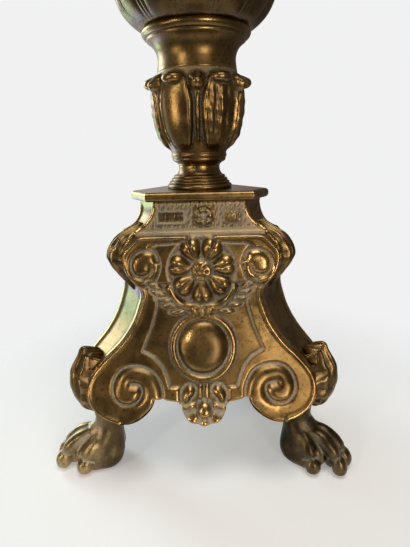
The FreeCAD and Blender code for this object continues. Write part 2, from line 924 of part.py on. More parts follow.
# The paw as shares of its own sizes: the ankle's waist up the foot and the taper under the heel, then
# (length, half width, height) down the instep and each toe, and how far the outer toes fall back
ANKLE_WAIST = 0.66
HEEL_TAPER = 0.88
INSTEP_RUN = ((0.35, 0.9, 0.92), (0.7, 1.0, 0.55), (0.85, 0.8, 0.3))
TOE_KNUCKLES = ((0.3, 0.6, 0.95), (0.72, 1.0, 0.72))
TOE_TIP = ((0.92, 0.85, 1.5), (1.0, 0.5, 0.8))
TOE_FALL = 0.12


def paw_foot():
    """A lion's paw: a waisted ankle on a heel, a high instep and four toes side by side."""
    height = size("foot_height")
    centre = Vector(0, -ankle_reach, 0)
    heel_level = size("heel_height")
    waist_level_of_ankle = height * ANKLE_WAIST
    knuckle_level = size("instep_height")
    heel = Part.makeCone(size("heel_radius") * HEEL_TAPER, size("heel_radius"), heel_level, centre)
    shin = Part.makeCone(
        size("heel_radius"),
        size("ankle_waist_radius"),
        waist_level_of_ankle - heel_level,
        centre + AXIS * heel_level,
    )
    ankle = Part.makeCone(
        size("ankle_waist_radius"),
        size("ankle_radius"),
        height - waist_level_of_ankle,
        centre + AXIS * waist_level_of_ankle,
    )
    length = size("toe_length")
    half = size("instep_width") / 2
    stations = [(0.0, size("ankle_waist_radius"), knuckle_level)]
    for along, across, up in INSTEP_RUN:
        stations.append((along * length, half * across, knuckle_level * up))
    instep = paw_mound(stations, 0.0)
    toes = []
    toe_radius = size("toe_radius")
    toe_count = int(size("toe_count"))
    for toe in range(toe_count):
        place = 2 * toe / (toe_count - 1) - 1
        reach = length * (1.0 - TOE_FALL * place * place)
        stations = []
        for along, across, up in TOE_KNUCKLES:
            stations.append((along * reach, toe_radius * across, knuckle_level * up))
        for along, across, up in TOE_TIP:
            stations.append((along * reach, toe_radius * across, toe_radius * up))
        toes.append(paw_mound(stations, place * size("toe_spread") / 2))
    paw = heel.fuse([shin, ankle, instep] + toes)
    tapped = Part.makeCylinder(
        size("screw_radius") + size("thread_clearance"),
        size("screw_grip") + size("screw_clearance"),
        centre + AXIS * (height - size("screw_grip") - size("screw_clearance")),
    )
    return paw.cut(tapped).removeSplitter()


def foot_screw():
    """A cheese-head screw through the roll's floor into the paw."""
    floor = under_level + size("scroll_floor")
    shank = Part.makeCylinder(
        size("screw_radius"),
        floor - seat_level + size("screw_grip"),
        Vector(0, -ankle_reach, seat_level - size("screw_grip")),
    )
    head = Part.makeCylinder(
        size("screw_head_radius"), size("screw_head_height"), Vector(0, -ankle_reach, floor)
    )
    return shank.fuse(head).removeSplitter()


def register_tools(height, height_of_spigot):
    """The bore and socket cut from a cast stem piece, and the spigot added on its top."""
    bore = Part.makeCylinder(value(rod_bore), height + height_of_spigot)
    socket = Part.makeCylinder(value(socket_radius), value(socket_depth))
    spigot = Part.makeCylinder(size("register_radius"), height_of_spigot, Vector(0, 0, height))
    return bore, socket, spigot


def vase_section(offset, foot, head):
    """Half section of the plain vase, grown by `offset`, between two levels."""
    return [
        ("0", foot),
        (f"{cell('vase_foot_radius')} + {offset}", foot),
        (
            f"{cell('vase_belly_radius')} + {offset}",
            cell("vase_belly_height"),
            cell("vase_belly_rise"),
        ),
        (f"{cell('vase_lip_radius')} + {offset}", head),
        ("0", head),
    ]


# A leaf of the vase: where a bud starts up the belly, where a leaf is widest up its length, and its
# stalk and tip as shares of its half width
BUD_ROOT = 0.75
LEAF_WIDEST = 0.68
LEAF_STALK = 0.35
LEAF_TIP = 0.45


def acanthus_vase():
    """A cast vase wrapped in upright leaves whose tips turn out under the lip."""
    height = size("vase_height")
    collar = [
        ("0", "0"),
        (cell("vase_collar_radius"), "0"),
        (cell("vase_collar_radius"), cell("vase_collar_height"), cell("vase_collar_rise")),
        ("0", cell("vase_collar_height")),
    ]
    foot = cell("vase_collar_height")
    wall = cell("vase_wall")
    body = spun(vase_section("0", foot, cell("vase_height"))).fuse(spun(collar))
    core = spun(vase_section(f"-1 * {wall}", f"{foot} + {wall}", f"{cell('vase_height')} - {wall}"))
    leaf_radius = f"{cell('vase_belly_radius')} + {cell('leaf_thickness')}"
    tip = f"{cell('vase_height')} - {cell('leaf_tip_drop')}"
    curl = f"{tip} - {cell('leaf_curl_height')}"
    jacket = spun(
        [
            ("0", foot),
            (f"{cell('vase_foot_radius')} + {cell('leaf_thickness')}", foot),
            (leaf_radius, cell("vase_belly_height"), cell("vase_belly_rise")),
            (leaf_radius, curl),
            (cell("leaf_tip_radius"), tip, f"-1 * {cell('leaf_curl_rise')}"),
            (cell("vase_lip_radius"), f"{tip} + {cell('leaf_tip_drop')} / 2"),
            ("0", f"{tip} + {cell('leaf_tip_drop')} / 2"),
        ]
    )
    count = int(size("leaf_count"))
    leaves = []
    for index in range(2 * count):
        large = index % 2 == 0
        half = (size("leaf_width") if large else size("bud_width")) / 2
        root = value(foot) if large else size("vase_belly_height") * BUD_ROOT
        widest = root + (value(curl) - root) * LEAF_WIDEST
        edge = size("leaf_edge_rise")
        outline = [
            (-half * LEAF_STALK, root, edge),
            (half * LEAF_STALK, root),
            (half, widest, edge),
            (half * LEAF_TIP, value(tip), edge),
            (half * LEAF_TIP, height),
            (-half * LEAF_TIP, height),
            (-half * LEAF_TIP, value(tip)),
            (-half, widest, edge),
        ]
        leaf = jacket.common(front_prism(outline, value(rod_bore), REACH))
        leaf.rotate(Vector(0, 0, 0), AXIS, (index + 1) * 180.0 / count)
        leaves.append(leaf)
    bore, socket, spigot = register_tools(height, size("register_height"))
    return body.fuse(leaves + [spigot]).cut([bore, socket, core]).removeSplitter()


# Sections of the bulb as shares of its rise to the widest and of its fall from there, the share of a
# gadroon's depth kept at both ends, and the bow of the hollow inside below and above the widest
BULB_RISE = (0.0, 0.2, 0.45, 0.75, 1.0)
BULB_FALL = (0.25, 0.5, 0.75, 1.0)
GADROON_END = 0.3
HOLLOW_RISE = 0.3
HOLLOW_FALL = 0.25
GADROON_CUTS = 4


def bulb_section(radius, depth, level):
    """A ring of round lobes meeting in sharp valleys."""
    lobes = int(size("bulb_gadroons"))
    corners = []
    for cut in range(lobes * GADROON_CUTS):
        turn = 2 * math.pi * cut / (lobes * GADROON_CUTS)
        out = radius - depth * (1 - abs(math.cos(turn * lobes / 2)))
        corners.append(Vector(out * math.cos(turn), out * math.sin(turn), level))
    return Part.makePolygon(corners + corners[:1])


def gadrooned_bulb():
    """A cast bulb of swelling gadroons, hollow inside, seated on registers at both ends."""
    height = size("bulb_height")
    widest = size("bulb_widest_height")
    radius = size("bulb_radius")
    foot = size("bulb_foot_radius")
    top = size("bulb_top_radius")
    depth = size("gadroon_depth")
    sections = []
    for share in BULB_RISE:
        swell = math.sin(share * math.pi / 2)
        wide = foot + (radius - foot) * swell
        cut = depth * (GADROON_END + (1 - GADROON_END) * swell)
        sections.append(bulb_section(wide, cut, widest * share))
    for share in BULB_FALL:
        swell = math.cos(share * math.pi / 2)
        wide = top + (radius - top) * swell
        level = widest + (height - widest) * share
        cut = depth * (GADROON_END + (1 - GADROON_END) * swell)
        sections.append(bulb_section(wide, cut, level))
    bulb = Part.makeLoft(sections, True, True)
    bore, socket, spigot = register_tools(height, size("register_height"))
    wall = f"({cell('bulb_wall')} + {cell('gadroon_depth')})"
    swell_rise = f"({cell('bulb_radius')} - {cell('bulb_foot_radius')}) * {HOLLOW_RISE}"
    fall_rise = f"({cell('bulb_radius')} - {cell('bulb_top_radius')}) * {HOLLOW_FALL}"
    core = spun(
        [
            ("0", wall),
            (f"{cell('bulb_foot_radius')} - {wall} / 2", wall),
            (f"{cell('bulb_radius')} - {wall}", cell("bulb_widest_height"), swell_rise),
            (cell("bulb_top_radius"), f"{cell('bulb_height')} - {wall}", fall_rise),
            ("0", f"{cell('bulb_height')} - {wall}"),
        ]
    )
    return bulb.fuse(spigot).cut([bore, socket, core]).removeSplitter()


def cornice_slab():
    """The three-sided slab with clipped corners and a rounded edge that closes the base."""
    body = doc.addObject("PartDesign::Body", "cornice_slab")
    sketch = body.newObject("Sketcher::SketchObject", "cornice_slab_plan")
    plane = next(item for item in body.Origin.OriginFeatures if item.Role == "XY_Plane")
    sketch.AttachmentSupport = [(plane, "")]
    sketch.MapMode = "FlatFace"
    corners = []
    for side in range(SIDES):
        angle = math.radians(side * 360.0 / SIDES - 90.0)
        for hand in (-1, 1):
            across = f"({hand} * {cell('slab_half_width')})"
            out = cell("slab_apothem")
            corners.append(
                (
                    f"{out} * {math.cos(angle)!r} - {across} * {math.sin(angle)!r}",
                    f"{out} * {math.sin(angle)!r} + {across} * {math.cos(angle)!r}",
                )
            )
    draw_outline(sketch, corners)
    hole = sketch.addGeometry(Part.Circle(Vector(0, 0, 0), AXIS, value(rod_bore)), False)
    sketch.addConstraint(Sketcher.Constraint("Coincident", hole, 3, -1, 1))
    number = sketch.addConstraint(Sketcher.Constraint("Radius", hole, value(rod_bore)))
    sketch.setExpression(f"Constraints[{number}]", rod_bore)
    doc.recompute()
    pad = body.newObject("PartDesign::Pad", "cornice_slab_pad")
    pad.Profile = sketch
    pad.setExpression("Length", cell("slab_thickness"))
    doc.recompute()
    rims = []
    for number, edge in enumerate(pad.Shape.Edges, start=1):
        middle = edge.valueAt((edge.FirstParameter + edge.LastParameter) / 2)
        straight = isinstance(edge.Curve, Part.Line)
        level_edge = straight and abs(edge.tangentAt(edge.FirstParameter).z) < 0.5
        if level_edge and math.hypot(middle.x, middle.y) > value(rod_bore):
            rims.append(f"Edge{number}")
    rounding = body.newObject("PartDesign::Fillet", "cornice_slab_round")
    rounding.Base = (pad, rims)
    rounding.setExpression("Radius", cell("slab_round"))
    body.setExpression("Placement.Base.z", seats["cornice_slab"])
    return body


def tie_rod_set():
    """The iron rod that clamps the stem, with its nut and washer under the top of the base."""
    washer_level = f"{base_top} - {cell('top_wall')} - {cell('washer_thickness')}"
    nut_level = f"{washer_level} - {cell('nut_height')}"
    rod_level = f"{nut_level} - {cell('rod_tail')}"
    rod = doc.addObject("Part::Cylinder", "tie_rod")
    rod.setExpression("Radius", cell("rod_radius"))
    rod.setExpression("Height", f"{stack_level} + {cell('rod_grip')} - ({rod_level})")
    rod.setExpression("Placement.Base.z", rod_level)
    disc = doc.addObject("Part::Cylinder", "washer_disc")
    disc.setExpression("Radius", cell("washer_radius"))
    disc.setExpression("Height", cell("washer_thickness"))
    disc_hole = doc.addObject("Part::Cylinder", "washer_hole")
    disc_hole.setExpression("Radius", rod_bore)
    disc_hole.setExpression("Height", cell("washer_thickness"))
    washer = doc.addObject("Part::Cut", "tie_rod_washer")
    washer.Base = disc
    washer.Tool = disc_hole
    washer.setExpression("Placement.Base.z", washer_level)
    hexagon = doc.addObject("Part::Prism", "nut_hexagon")
    hexagon.Polygon = 6
    hexagon.setExpression("Circumradius", cell("nut_circumradius"))
    hexagon.setExpression("Height", cell("nut_height"))
    nut_hole = doc.addObject("Part::Cylinder", "nut_hole")
    nut_hole.setExpression("Radius", thread_bore)
    nut_hole.setExpression("Height", cell("nut_height"))
    nut = doc.addObject("Part::Cut", "tie_rod_nut")
    nut.Base = hexagon
    nut.Tool = nut_hole
    nut.setExpression("Placement.Base.z", nut_level)
    return [rod, washer, nut]


def stem_outlines():
    """Outer half sections of the turned stem pieces, from the seat up."""
    bead = f"{cell('neck_sweep_height')} + {cell('neck_fillet_height')}"
    stem_bead = f"{cell('stem_height')} - {cell('stem_top_height')} - {cell('stem_bead_height')}"
    knop_top = f"{cell('knop_height')} - {cell('knop_foot_height')}"
    lip = f"{cell('capital_height')} - {cell('capital_lip_height')}"
    return {
        "socle": [
            (cell("socle_foot_radius"), "0"),
            (cell("socle_foot_radius"), cell("socle_bead_height"), cell("socle_bead_rise")),
            (cell("socle_fillet_radius"), cell("socle_bead_height")),
            (
                cell("socle_fillet_radius"),
                f"{cell('socle_bead_height')} + {cell('socle_fillet_height')}",
            ),
            (cell("socle_neck_radius"), cell("socle_height"), f"-1 * {cell('socle_sweep')}"),
        ],
        "neck_ring": [
            (cell("neck_foot_radius"), "0"),
            (cell("neck_fillet_radius"), cell("neck_sweep_height"), f"-1 * {cell('neck_sweep')}"),
            (cell("neck_fillet_radius"), bead),
            (cell("neck_bead_radius"), bead),
            (cell("neck_bead_radius"), f"{bead} + {cell('neck_bead_height')}", cell("neck_bead_rise")),
            (cell("bulb_foot_radius"), cell("neck_height")),
        ],
        "bulb_collar": [
            (cell("collar_bead_radius"), "0"),
            (cell("collar_bead_radius"), cell("collar_bead_height"), cell("collar_bead_rise")),
            (cell("collar_top_radius"), cell("collar_bead_height")),
            (cell("collar_top_radius"), cell("collar_height")),
        ],
        "baluster_stem": [
            (cell("stem_foot_radius"), "0"),
            (cell("stem_foot_radius"), cell("stem_foot_height"), cell("stem_foot_rise")),
            (cell("stem_neck_radius"), cell("stem_foot_height")),
            (cell("stem_swell_radius"), cell("stem_swell_height"), cell("stem_swell_rise")),
            (cell("stem_taper_radius"), stem_bead, f"-1 * {cell('stem_taper_rise')}"),
            (cell("stem_bead_radius"), stem_bead),
            (
                cell("stem_bead_radius"),
                f"{stem_bead} + {cell('stem_bead_height')}",
                cell("stem_bead_rise"),
            ),
            (cell("stem_top_radius"), f"{stem_bead} + {cell('stem_bead_height')}"),
            (cell("stem_top_radius"), cell("stem_height")),
        ],
        "knop_ring": [
            (cell("knop_ring_radius"), "0"),
            (cell("knop_ring_radius"), cell("knop_ring_height"), cell("knop_ring_rise")),
        ],
        "upper_knop": [
            (cell("knop_foot_radius"), "0"),
            (cell("knop_shoulder_radius"), cell("knop_foot_height")),
            (cell("knop_shoulder_radius"), knop_top, cell("knop_rise")),
            (cell("knop_top_radius"), cell("knop_height")),
        ],
        "candle_capital": [
            (cell("capital_foot_radius"), "0"),
            (cell("capital_foot_radius"), cell("capital_bead_height"), cell("capital_bead_rise")),
            (cell("capital_neck_radius"), cell("capital_bead_height")),
            (cell("capital_lip_radius"), lip, f"-1 * {cell('capital_flare')}"),
            (cell("capital_lip_radius"), cell("capital_height"), cell("capital_lip_rise")),
        ],
    }


def drip_pan():
    """The loose turned dish that drops over the pricket's collar and catches wax."""
    hole = f"{cell('pricket_collar_radius')} + {cell('pan_hole_clearance')}"
    rim_inside = f"{cell('pan_radius')} - {cell('pan_rim_width')}"
    outline = [
        (hole, "0"),
        (cell("pan_floor_radius"), "0"),
        (cell("pan_radius"), f"{cell('pan_depth')} - {cell('pan_wall')}", f"-1 * {cell('pan_flare')}"),
        (cell("pan_radius"), cell("pan_depth"), f"{cell('pan_wall')} / 3"),
        (rim_inside, cell("pan_depth")),
        (cell("pan_floor_radius"), cell("pan_wall"), cell("pan_flare")),
        (hole, cell("pan_wall")),
    ]
    return turned_body("drip_pan", outline, seats["drip_pan"])


def pricket_spike():
    """The iron pricket: a collared barrel tapped for the rod, a straight shank and a long point."""
    collar = cell("pricket_collar_height")
    chamfer = cell("pricket_collar_chamfer")
    shoulder = f"{collar} + {cell('pricket_barrel_height')}"
    shank_top = f"{shoulder} + {cell('pricket_shank_length')}"
    tip = f"{shank_top} + {cell('pricket_point_length')}"
    outline = [
        (thread_bore, "0"),
        (cell("pricket_collar_radius"), "0"),
        (cell("pricket_collar_radius"), f"{collar} - {chamfer}"),
        (f"{cell('pricket_collar_radius')} - {chamfer}", collar),
        (cell("pricket_barrel_radius"), collar),
        (cell("pricket_barrel_radius"), shoulder),
        (cell("pricket_shank_radius"), shoulder),
        (cell("pricket_shank_radius"), shank_top),
        (cell("pricket_point_radius"), tip),
        ("0", tip),
        ("0", cell("pricket_socket_depth")),
        (thread_bore, cell("pricket_socket_depth")),
    ]
    return turned_body("pricket_spike", outline, seats["pricket_spike"])


pieces = [feature("base_casting", base_casting())]
paw = paw_foot()
for name, turn in (("front_right", 60.0), ("rear", 180.0), ("front_left", 300.0)):
    foot = feature(f"paw_foot_{name}", paw)
    foot.Placement = Placement(Vector(0, 0, 0), Rotation(AXIS, turn))
    pieces.append(foot)
pieces.append(feature("foot_screws", Part.makeCompound(turned_copies(foot_screw(), CORNER_TURN))))
pieces.append(cornice_slab())
for name, outer in stem_outlines().items():
    height = cell(dict(STEM_PIECES)[name])
    section = stem_outline(outer, height, socket=name != "socle", spigot=name != "candle_capital")
    pieces.append(turned_body(name, section, seats[name]))
for name, shape in (("acanthus_vase", acanthus_vase()), ("gadrooned_bulb", gadrooned_bulb())):
    casting = feature(name, shape)
    casting.Placement = Placement(Vector(0, 0, value(seats[name])), Rotation())
    pieces.append(casting)
pieces.append(drip_pan())
pieces.append(pricket_spike())
pieces += tie_rod_set()

doc.recompute()
for item in doc.Objects:
    if "Invalid" in item.State or "Error" in item.State:
        raise RuntimeError(f"{item.Label} did not build: {item.State}")
for piece in pieces:
    if piece.Shape.isNull() or not piece.Shape.isValid():
        raise RuntimeError(f"{piece.Label} has no valid shape")

os.makedirs("parts", exist_ok=True)
for piece in pieces:
    piece.Shape.exportStep(f"parts/{piece.Label}.step")
    solids = len(piece.Shape.Solids)
    print(f"{piece.Label}: {solids} solid(s), {piece.Shape.Volume / 1000.0:.1f} cm3")
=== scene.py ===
import math

import bmesh
import bpy
import numpy as np
from mathutils import Matrix, Vector


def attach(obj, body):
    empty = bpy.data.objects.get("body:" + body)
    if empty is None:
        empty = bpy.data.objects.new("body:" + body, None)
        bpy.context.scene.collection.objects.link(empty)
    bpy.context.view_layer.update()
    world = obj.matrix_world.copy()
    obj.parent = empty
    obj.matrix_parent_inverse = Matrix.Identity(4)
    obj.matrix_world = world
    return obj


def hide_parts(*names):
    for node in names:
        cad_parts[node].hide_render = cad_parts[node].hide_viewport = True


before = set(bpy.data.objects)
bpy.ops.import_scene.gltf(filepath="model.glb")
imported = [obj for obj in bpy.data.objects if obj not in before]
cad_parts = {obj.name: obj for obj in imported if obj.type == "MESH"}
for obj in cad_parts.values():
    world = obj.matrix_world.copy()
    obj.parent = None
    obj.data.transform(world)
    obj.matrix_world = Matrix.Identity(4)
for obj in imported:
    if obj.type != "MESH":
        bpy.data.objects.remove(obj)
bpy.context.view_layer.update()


# The three faces of the base, cast in brass in one hollow piece with the corners between them. Each is a
# curved panel with two volutes below and two above, an open flower, a domed boss in a ring, leaves and a
# pendant shell. Polish has dried white in the grooves; the front has painted highlights on its right side and
# painted shade on its left.

# Edge of the corner scroll seen from its side: distance from the axis and height, top to bottom,
# going round the roll at its foot.
CORNER_PATH = (
    (41.0, 187.0), (41.0, 181.5), (42.2, 177.5), (45.5, 173.0), (50.5, 169.6), (54.5, 167.6),
    (59.0, 163.0), (62.2, 157.0), (63.0, 150.0), (61.8, 143.0), (58.6, 137.0), (55.4, 132.4),
    (54.6, 127.0), (56.6, 120.0), (61.2, 109.0), (69.4, 97.5), (79.6, 87.8), (87.6, 79.0),
    (92.0, 70.5), (92.6, 62.5), (89.8, 55.6), (83.0, 51.2), (74.8, 50.4), (66.1, 53.4),
    (59.2, 58.2), (55.2, 64.0), (56.0, 71.0),
)
CORNER_STEPS = 260
SPAN_STEPS = 12
# How far the ground of a face stands from the axis, level by level
APOTHEM_LEVELS = (
    47.0, 55.0, 62.0, 70.0, 78.0, 86.0, 95.0, 103.0, 112.0,
    120.0, 132.0, 144.0, 156.0, 166.0, 168.0, 170.5, 187.0,
)
APOTHEMS = (
    71.6, 66.0, 62.0, 58.0, 54.2, 50.8, 47.4, 45.0, 43.2,
    42.2, 41.2, 40.2, 37.8, 34.9, 34.5, 30.4, 30.0,
)
APOTHEM_STEPS = 561
APOTHEM_SOFTENING = 8
# Slant of a corner to the faces beside it
SLANT = math.radians(30)


def smooth_curve(points, count):
    """A Catmull-Rom curve through the points, resampled evenly by length."""
    knots = np.asarray(points, float)
    padded = np.vstack([2 * knots[0] - knots[1], knots, 2 * knots[-1] - knots[-2]])
    share = np.linspace(0, 1, SPAN_STEPS, endpoint=False)[:, None]
    runs = []
    for p0, p1, p2, p3 in zip(padded, padded[1:], padded[2:], padded[3:]):
        runs.append(0.5 * (2 * p1 + (p2 - p0) * share + (2 * p0 - 5 * p1 + 4 * p2 - p3) * share ** 2
                           + (3 * p1 - p0 - 3 * p2 + p3) * share ** 3))
    fine = np.vstack(runs + [knots[-1:]])
    length = np.concatenate([[0], np.cumsum(np.linalg.norm(np.diff(fine, axis=0), axis=1))])
    at = np.linspace(0, length[-1], count)
    return np.column_stack([np.interp(at, length, fine[:, k]) for k in range(fine.shape[1])])


def step(low, high, value):
    """A smooth step from nought at low to one at high."""
    t = np.clip((value - low) / (high - low), 0, 1)
    return t * t * (3 - 2 * t)


def dome(distance, radius):
    """A half round of height one."""
    return np.sqrt(np.clip(1 - (distance / radius) ** 2, 0, 1))


def from_place(x, z, place):
    """Distance from each (x, z) to one place."""
    return np.hypot(x - place[0], z - place[1])


def hump(distance, width):
    """A soft bell of height one."""
    return np.exp(-(distance / width) ** 2)


def apothem(level):
    """How far the ground of a face stands from the axis."""
    fine = np.linspace(APOTHEM_LEVELS[0], APOTHEM_LEVELS[-1], APOTHEM_STEPS)
    rough = np.interp(fine, APOTHEM_LEVELS, APOTHEMS)
    kernel = np.hanning(2 * APOTHEM_SOFTENING + 1)
    soft = np.convolve(np.pad(rough, APOTHEM_SOFTENING, mode="edge"), kernel / kernel.sum(), mode="valid")
    return np.interp(level, fine, soft)


# The rolls were chased by hand: the front left one is fuller than the others.
FULLER = {"front_right": 1.0, "rear": 1.0, "front_left": 3.4}
ROLL_LEVEL = 66.0
ROLL_SPREAD = 24.0


def corner_run(corner):
    """Distance from the axis and height along one corner, its roll filled out."""
    run = smooth_curve(CORNER_PATH, CORNER_STEPS)
    run[:, 0] += FULLER[corner] * hump(run[:, 1] - ROLL_LEVEL, ROLL_SPREAD)
    return run


def face_edge(corner):
    """The corner's edge as it is seen on a face: across and level."""
    reach, level = corner_run(corner).T
    return np.column_stack([(reach - math.sin(SLANT) * apothem(level)) / math.cos(SLANT), level])


# The corner's edge gives way to the edge of the shell for its last steps
SHELL_STEPS = 9
SHELL_EDGE = (
    (22.0, 61.9), (17.0, 61.2), (14.3, 60.2), (14.1, 57.0), (12.9, 54.3), (11.0, 52.3), (8.4, 50.8),
    (5.6, 49.8), (2.8, 49.3), (0.0, 49.1),
)


def face_outline(right, left):
    """Outline of a face between its right and left corners, with the pendant shell below."""
    right_edge = np.vstack([face_edge(right)[:-SHELL_STEPS], SHELL_EDGE])
    left_edge = np.vstack([face_edge(left)[:-SHELL_STEPS], SHELL_EDGE])
    return np.vstack([right_edge, left_edge[-2::-1] * (-1, 1)])


TINY = 1e-12


def line_distance(x, z, points, closed=False):
    """Distance from each (x, z) to a run of straight pieces."""
    run = np.asarray(points, float)
    ends = np.vstack([run[1:], run[:1]]) if closed else run[1:]
    best = np.full(np.shape(x), np.inf)
    for (ax, az), (bx, bz) in zip(run, ends):
        dx, dz = bx - ax, bz - az
        share = np.clip(((x - ax) * dx + (z - az) * dz) / (dx * dx + dz * dz + TINY), 0, 1)
        best = np.minimum(best, np.hypot(x - ax - share * dx, z - az - share * dz))
    return best


def inside_distance(x, z, outline):
    """Distance to a closed outline, positive inside."""
    run = np.asarray(outline, float)
    inside = np.zeros(np.shape(x), bool)
    for (ax, az), (bx, bz) in zip(run, np.roll(run, -1, axis=0)):
        crosses = (az > z) != (bz > z)
        inside ^= crosses & (x < (bx - ax) * (z - az) / (bz - az + TINY) + ax)
    return np.where(inside, 1, -1) * line_distance(x, z, run, closed=True)


# Lines of the carving on the right half of a face, across and level; the left half mirrors them
LOWER_GROOVE = (
    (26.8, 59.0), (26.8, 65.4), (27.9, 71.5), (31.7, 78.1), (37.1, 81.7), (45.4, 83.4), (53.5, 81.4),
    (58.5, 75.5), (59.6, 68.8), (56.5, 62.9), (50.0, 60.6), (43.2, 62.6), (40.2, 67.7), (41.9, 71.7),
    (47.5, 72.9),
)
UPPER_GROOVE = (
    (28.0, 150.9), (30.4, 155.9), (36.7, 157.2), (42.9, 153.9), (45.2, 148.3), (43.4, 142.6), (38.3, 140.6),
    (33.1, 142.8), (31.8, 146.3),
)
UPPER_SCROLL = (
    (8.0, 168.0), (30.0, 168.0), (40.0, 167.0), (47.0, 161.8), (52.0, 154.9), (52.0, 145.9),
    (47.0, 137.9), (38.5, 134.3), (31.4, 137.0), (27.9, 143.0), (27.0, 149.8), (29.6, 156.2), (33.0, 159.0),
    (29.9, 161.0), (19.7, 161.8), (8.0, 163.0),
)
PANEL_LINE = (
    (29.0, 136.0), (29.4, 121.0), (33.4, 107.0), (39.8, 91.8), (32.4, 88.0), (26.6, 81.9), (23.6, 75.2),
    (22.0, 69.9), (15.0, 69.5),
)
HORN = ((20.6, 132.4), (17.7, 126.2), (12.9, 121.7), (7.3, 120.0), (2.6, 121.0))
EAR = (
    (13.2, 60.9), (14.6, 64.9), (12.8, 69.0), (8.8, 71.0), (5.6, 68.5), (6.4, 65.6), (8.6, 63.6),
    (10.4, 61.2),
)
BAR = ((2.2, 64.6), (2.2, 70.4))
GROOVE_STEPS = 90
BAND_STEPS = 20
HORN_STEPS = 30
EAR_STEPS = 40


def coil(x, z, groove, shared, closing):
    """Swell of a scroll, bounded by steps of its groove and closing points, and distance to the groove."""
    line = smooth_curve(groove, GROOVE_STEPS)
    far = line_distance(x, z, line)
    inside = inside_distance(x, z, np.vstack([line[:shared], closing]))
    return (1 - hump(far, 2.7)) * step(0.0, 2.4, inside), far


PANEL = ((-5.0, 136.0),) + PANEL_LINE + ((-5.0, 69.5),)
STRAP_RISE = 2.1
FILLET_RISE = 0.9
FILLET_INSET = 2.0
FILLET_STEPS = slice(84, 212, 3)
LOWER_SWELL = 2.0
LOWER_CUT = 1.3
LOWER_SHARED = 68
LOWER_CLOSING = ((46.0, 52.0), (30.0, 50.0))
LOWER_EYE = (50.0, 66.8)
LOWER_EYE_RADIUS = 8.6
LOWER_EYE_RISE = 0.5


def straps(x, z, right, left):
    """Straps with a fillet down their outer edge, run into the lower scrolls over a sunk panel."""
    side = np.abs(x)
    panel = inside_distance(side, z, PANEL)
    height = STRAP_RISE * step(0.7, -0.7, panel) * step(171.0, 164.0, z)
    right_edge = line_distance(x, z, face_edge(right)[FILLET_STEPS])
    left_edge = line_distance(-x, z, face_edge(left)[FILLET_STEPS])
    outer = np.where(x > 0, right_edge, left_edge)
    height += FILLET_RISE * hump(outer - FILLET_INSET, 1.0) * step(138.0, 132.0, z)
    residue = hump(line_distance(side, z, PANEL_LINE), 0.62) * step(70.0, 70.8, z + side * 0.02)
    swell, far = coil(side, z, LOWER_GROOVE, LOWER_SHARED, LOWER_CLOSING)
    height += LOWER_SWELL * swell * step(55.0, 64.0, z) - LOWER_CUT * hump(far, 0.9) * step(56.0, 61.0, z)
    height += LOWER_EYE_RISE * dome(from_place(side, z, LOWER_EYE), LOWER_EYE_RADIUS)
    return height, np.maximum(residue, hump(far, 0.7) * step(56.0, 63.0, z))


UPPER_RISE = 2.6
UPPER_WINDING = 13
UPPER_SWELL = 1.5
UPPER_CUT = 1.5
UPPER_SHARED = 76
UPPER_CLOSING = ((30.0, 145.0),)
BEAD_RISE = 1.4
BEAD_INSET = 2.7
BEAD_STEPS = 68
BAND_SINK = 1.0


def upper_scrolls(x, z, height, residue):
    """Upper scrolls, edged with a bead, and the bands that sweep into them."""
    side = np.abs(x)
    winding = smooth_curve(UPPER_SCROLL[:UPPER_WINDING], GROOVE_STEPS)
    band = smooth_curve(UPPER_SCROLL[UPPER_WINDING - 1:], BAND_STEPS)
    scroll = inside_distance(side, z, np.vstack([winding, band]))
    height = np.where(scroll > 0, np.maximum(height, 0.4), height * step(0.0, 1.2, -scroll))
    height = np.maximum(height, UPPER_RISE * step(-0.4, 1.6, scroll))
    swell, far = coil(side, z, UPPER_GROOVE, UPPER_SHARED, UPPER_CLOSING)
    bead = hump(line_distance(side, z, winding[:BEAD_STEPS]) - BEAD_INSET, 1.3) * step(0.0, 0.8, scroll)
    height += BEAD_RISE * bead * (1 - step(38.0, 32.0, side) * step(162.0, 158.0, z)) * step(0.6, 2.4, far)
    height -= BAND_SINK * step(5.2, 6.2, scroll) * step(156.0, 160.0, z) * step(30.0, 24.0, side)
    height += (UPPER_SWELL * swell - UPPER_CUT * hump(far, 0.8)) * step(0.2, 1.0, scroll)
    residue = np.maximum(residue, 0.9 * hump(far, 0.7))
    return height, np.maximum(residue, 0.6 * hump(scroll + 0.8, 0.7) * step(165.0, 163.0, z))


# Lobes of the leaf sprays: across, level and lean in degrees, then their half sizes and those of the moat
LEAF_LOBES = (
    (30.2, 134.4, 28.0), (28.0, 129.8, 20.0), (24.8, 125.4, 10.0), (20.8, 121.2, 0.0), (15.9, 117.0, -8.0),
)
LOBE_HALVES = (5.6, 2.2)
MOAT_HALVES = (6.9, 3.1)
LOBE_RISE = 3.0
HORN_RISE = 3.6
HORN_RADIUS = 2.9


def sprays(x, z, height, residue):
    """Two leaf sprays and two horns under the flower."""
    side = np.abs(x)
    for across, level, lean in LEAF_LOBES:
        angle = math.radians(lean)
        along = (side - across) * math.cos(angle) + (z - level) * math.sin(angle)
        beside = (z - level) * math.cos(angle) - (side - across) * math.sin(angle)
        lobe = dome(np.hypot(along / LOBE_HALVES[0], beside / LOBE_HALVES[1]), 1.0) ** 0.8
        moat = np.hypot(along / MOAT_HALVES[0], beside / MOAT_HALVES[1])
        height = np.where(moat < 1, height * step(0.4, 1.0, moat), height)
        height = np.maximum(height, LOBE_RISE * lobe)
        residue = np.maximum(residue, 0.7 * hump(moat - 0.9, 0.16))
    horn = line_distance(side, z, smooth_curve(HORN, HORN_STEPS))
    height = np.maximum(height, HORN_RISE * dome(horn, HORN_RADIUS))
    return height, np.maximum(residue, 0.7 * hump(horn - 3.4, 0.6) * step(134.0, 130.0, z))


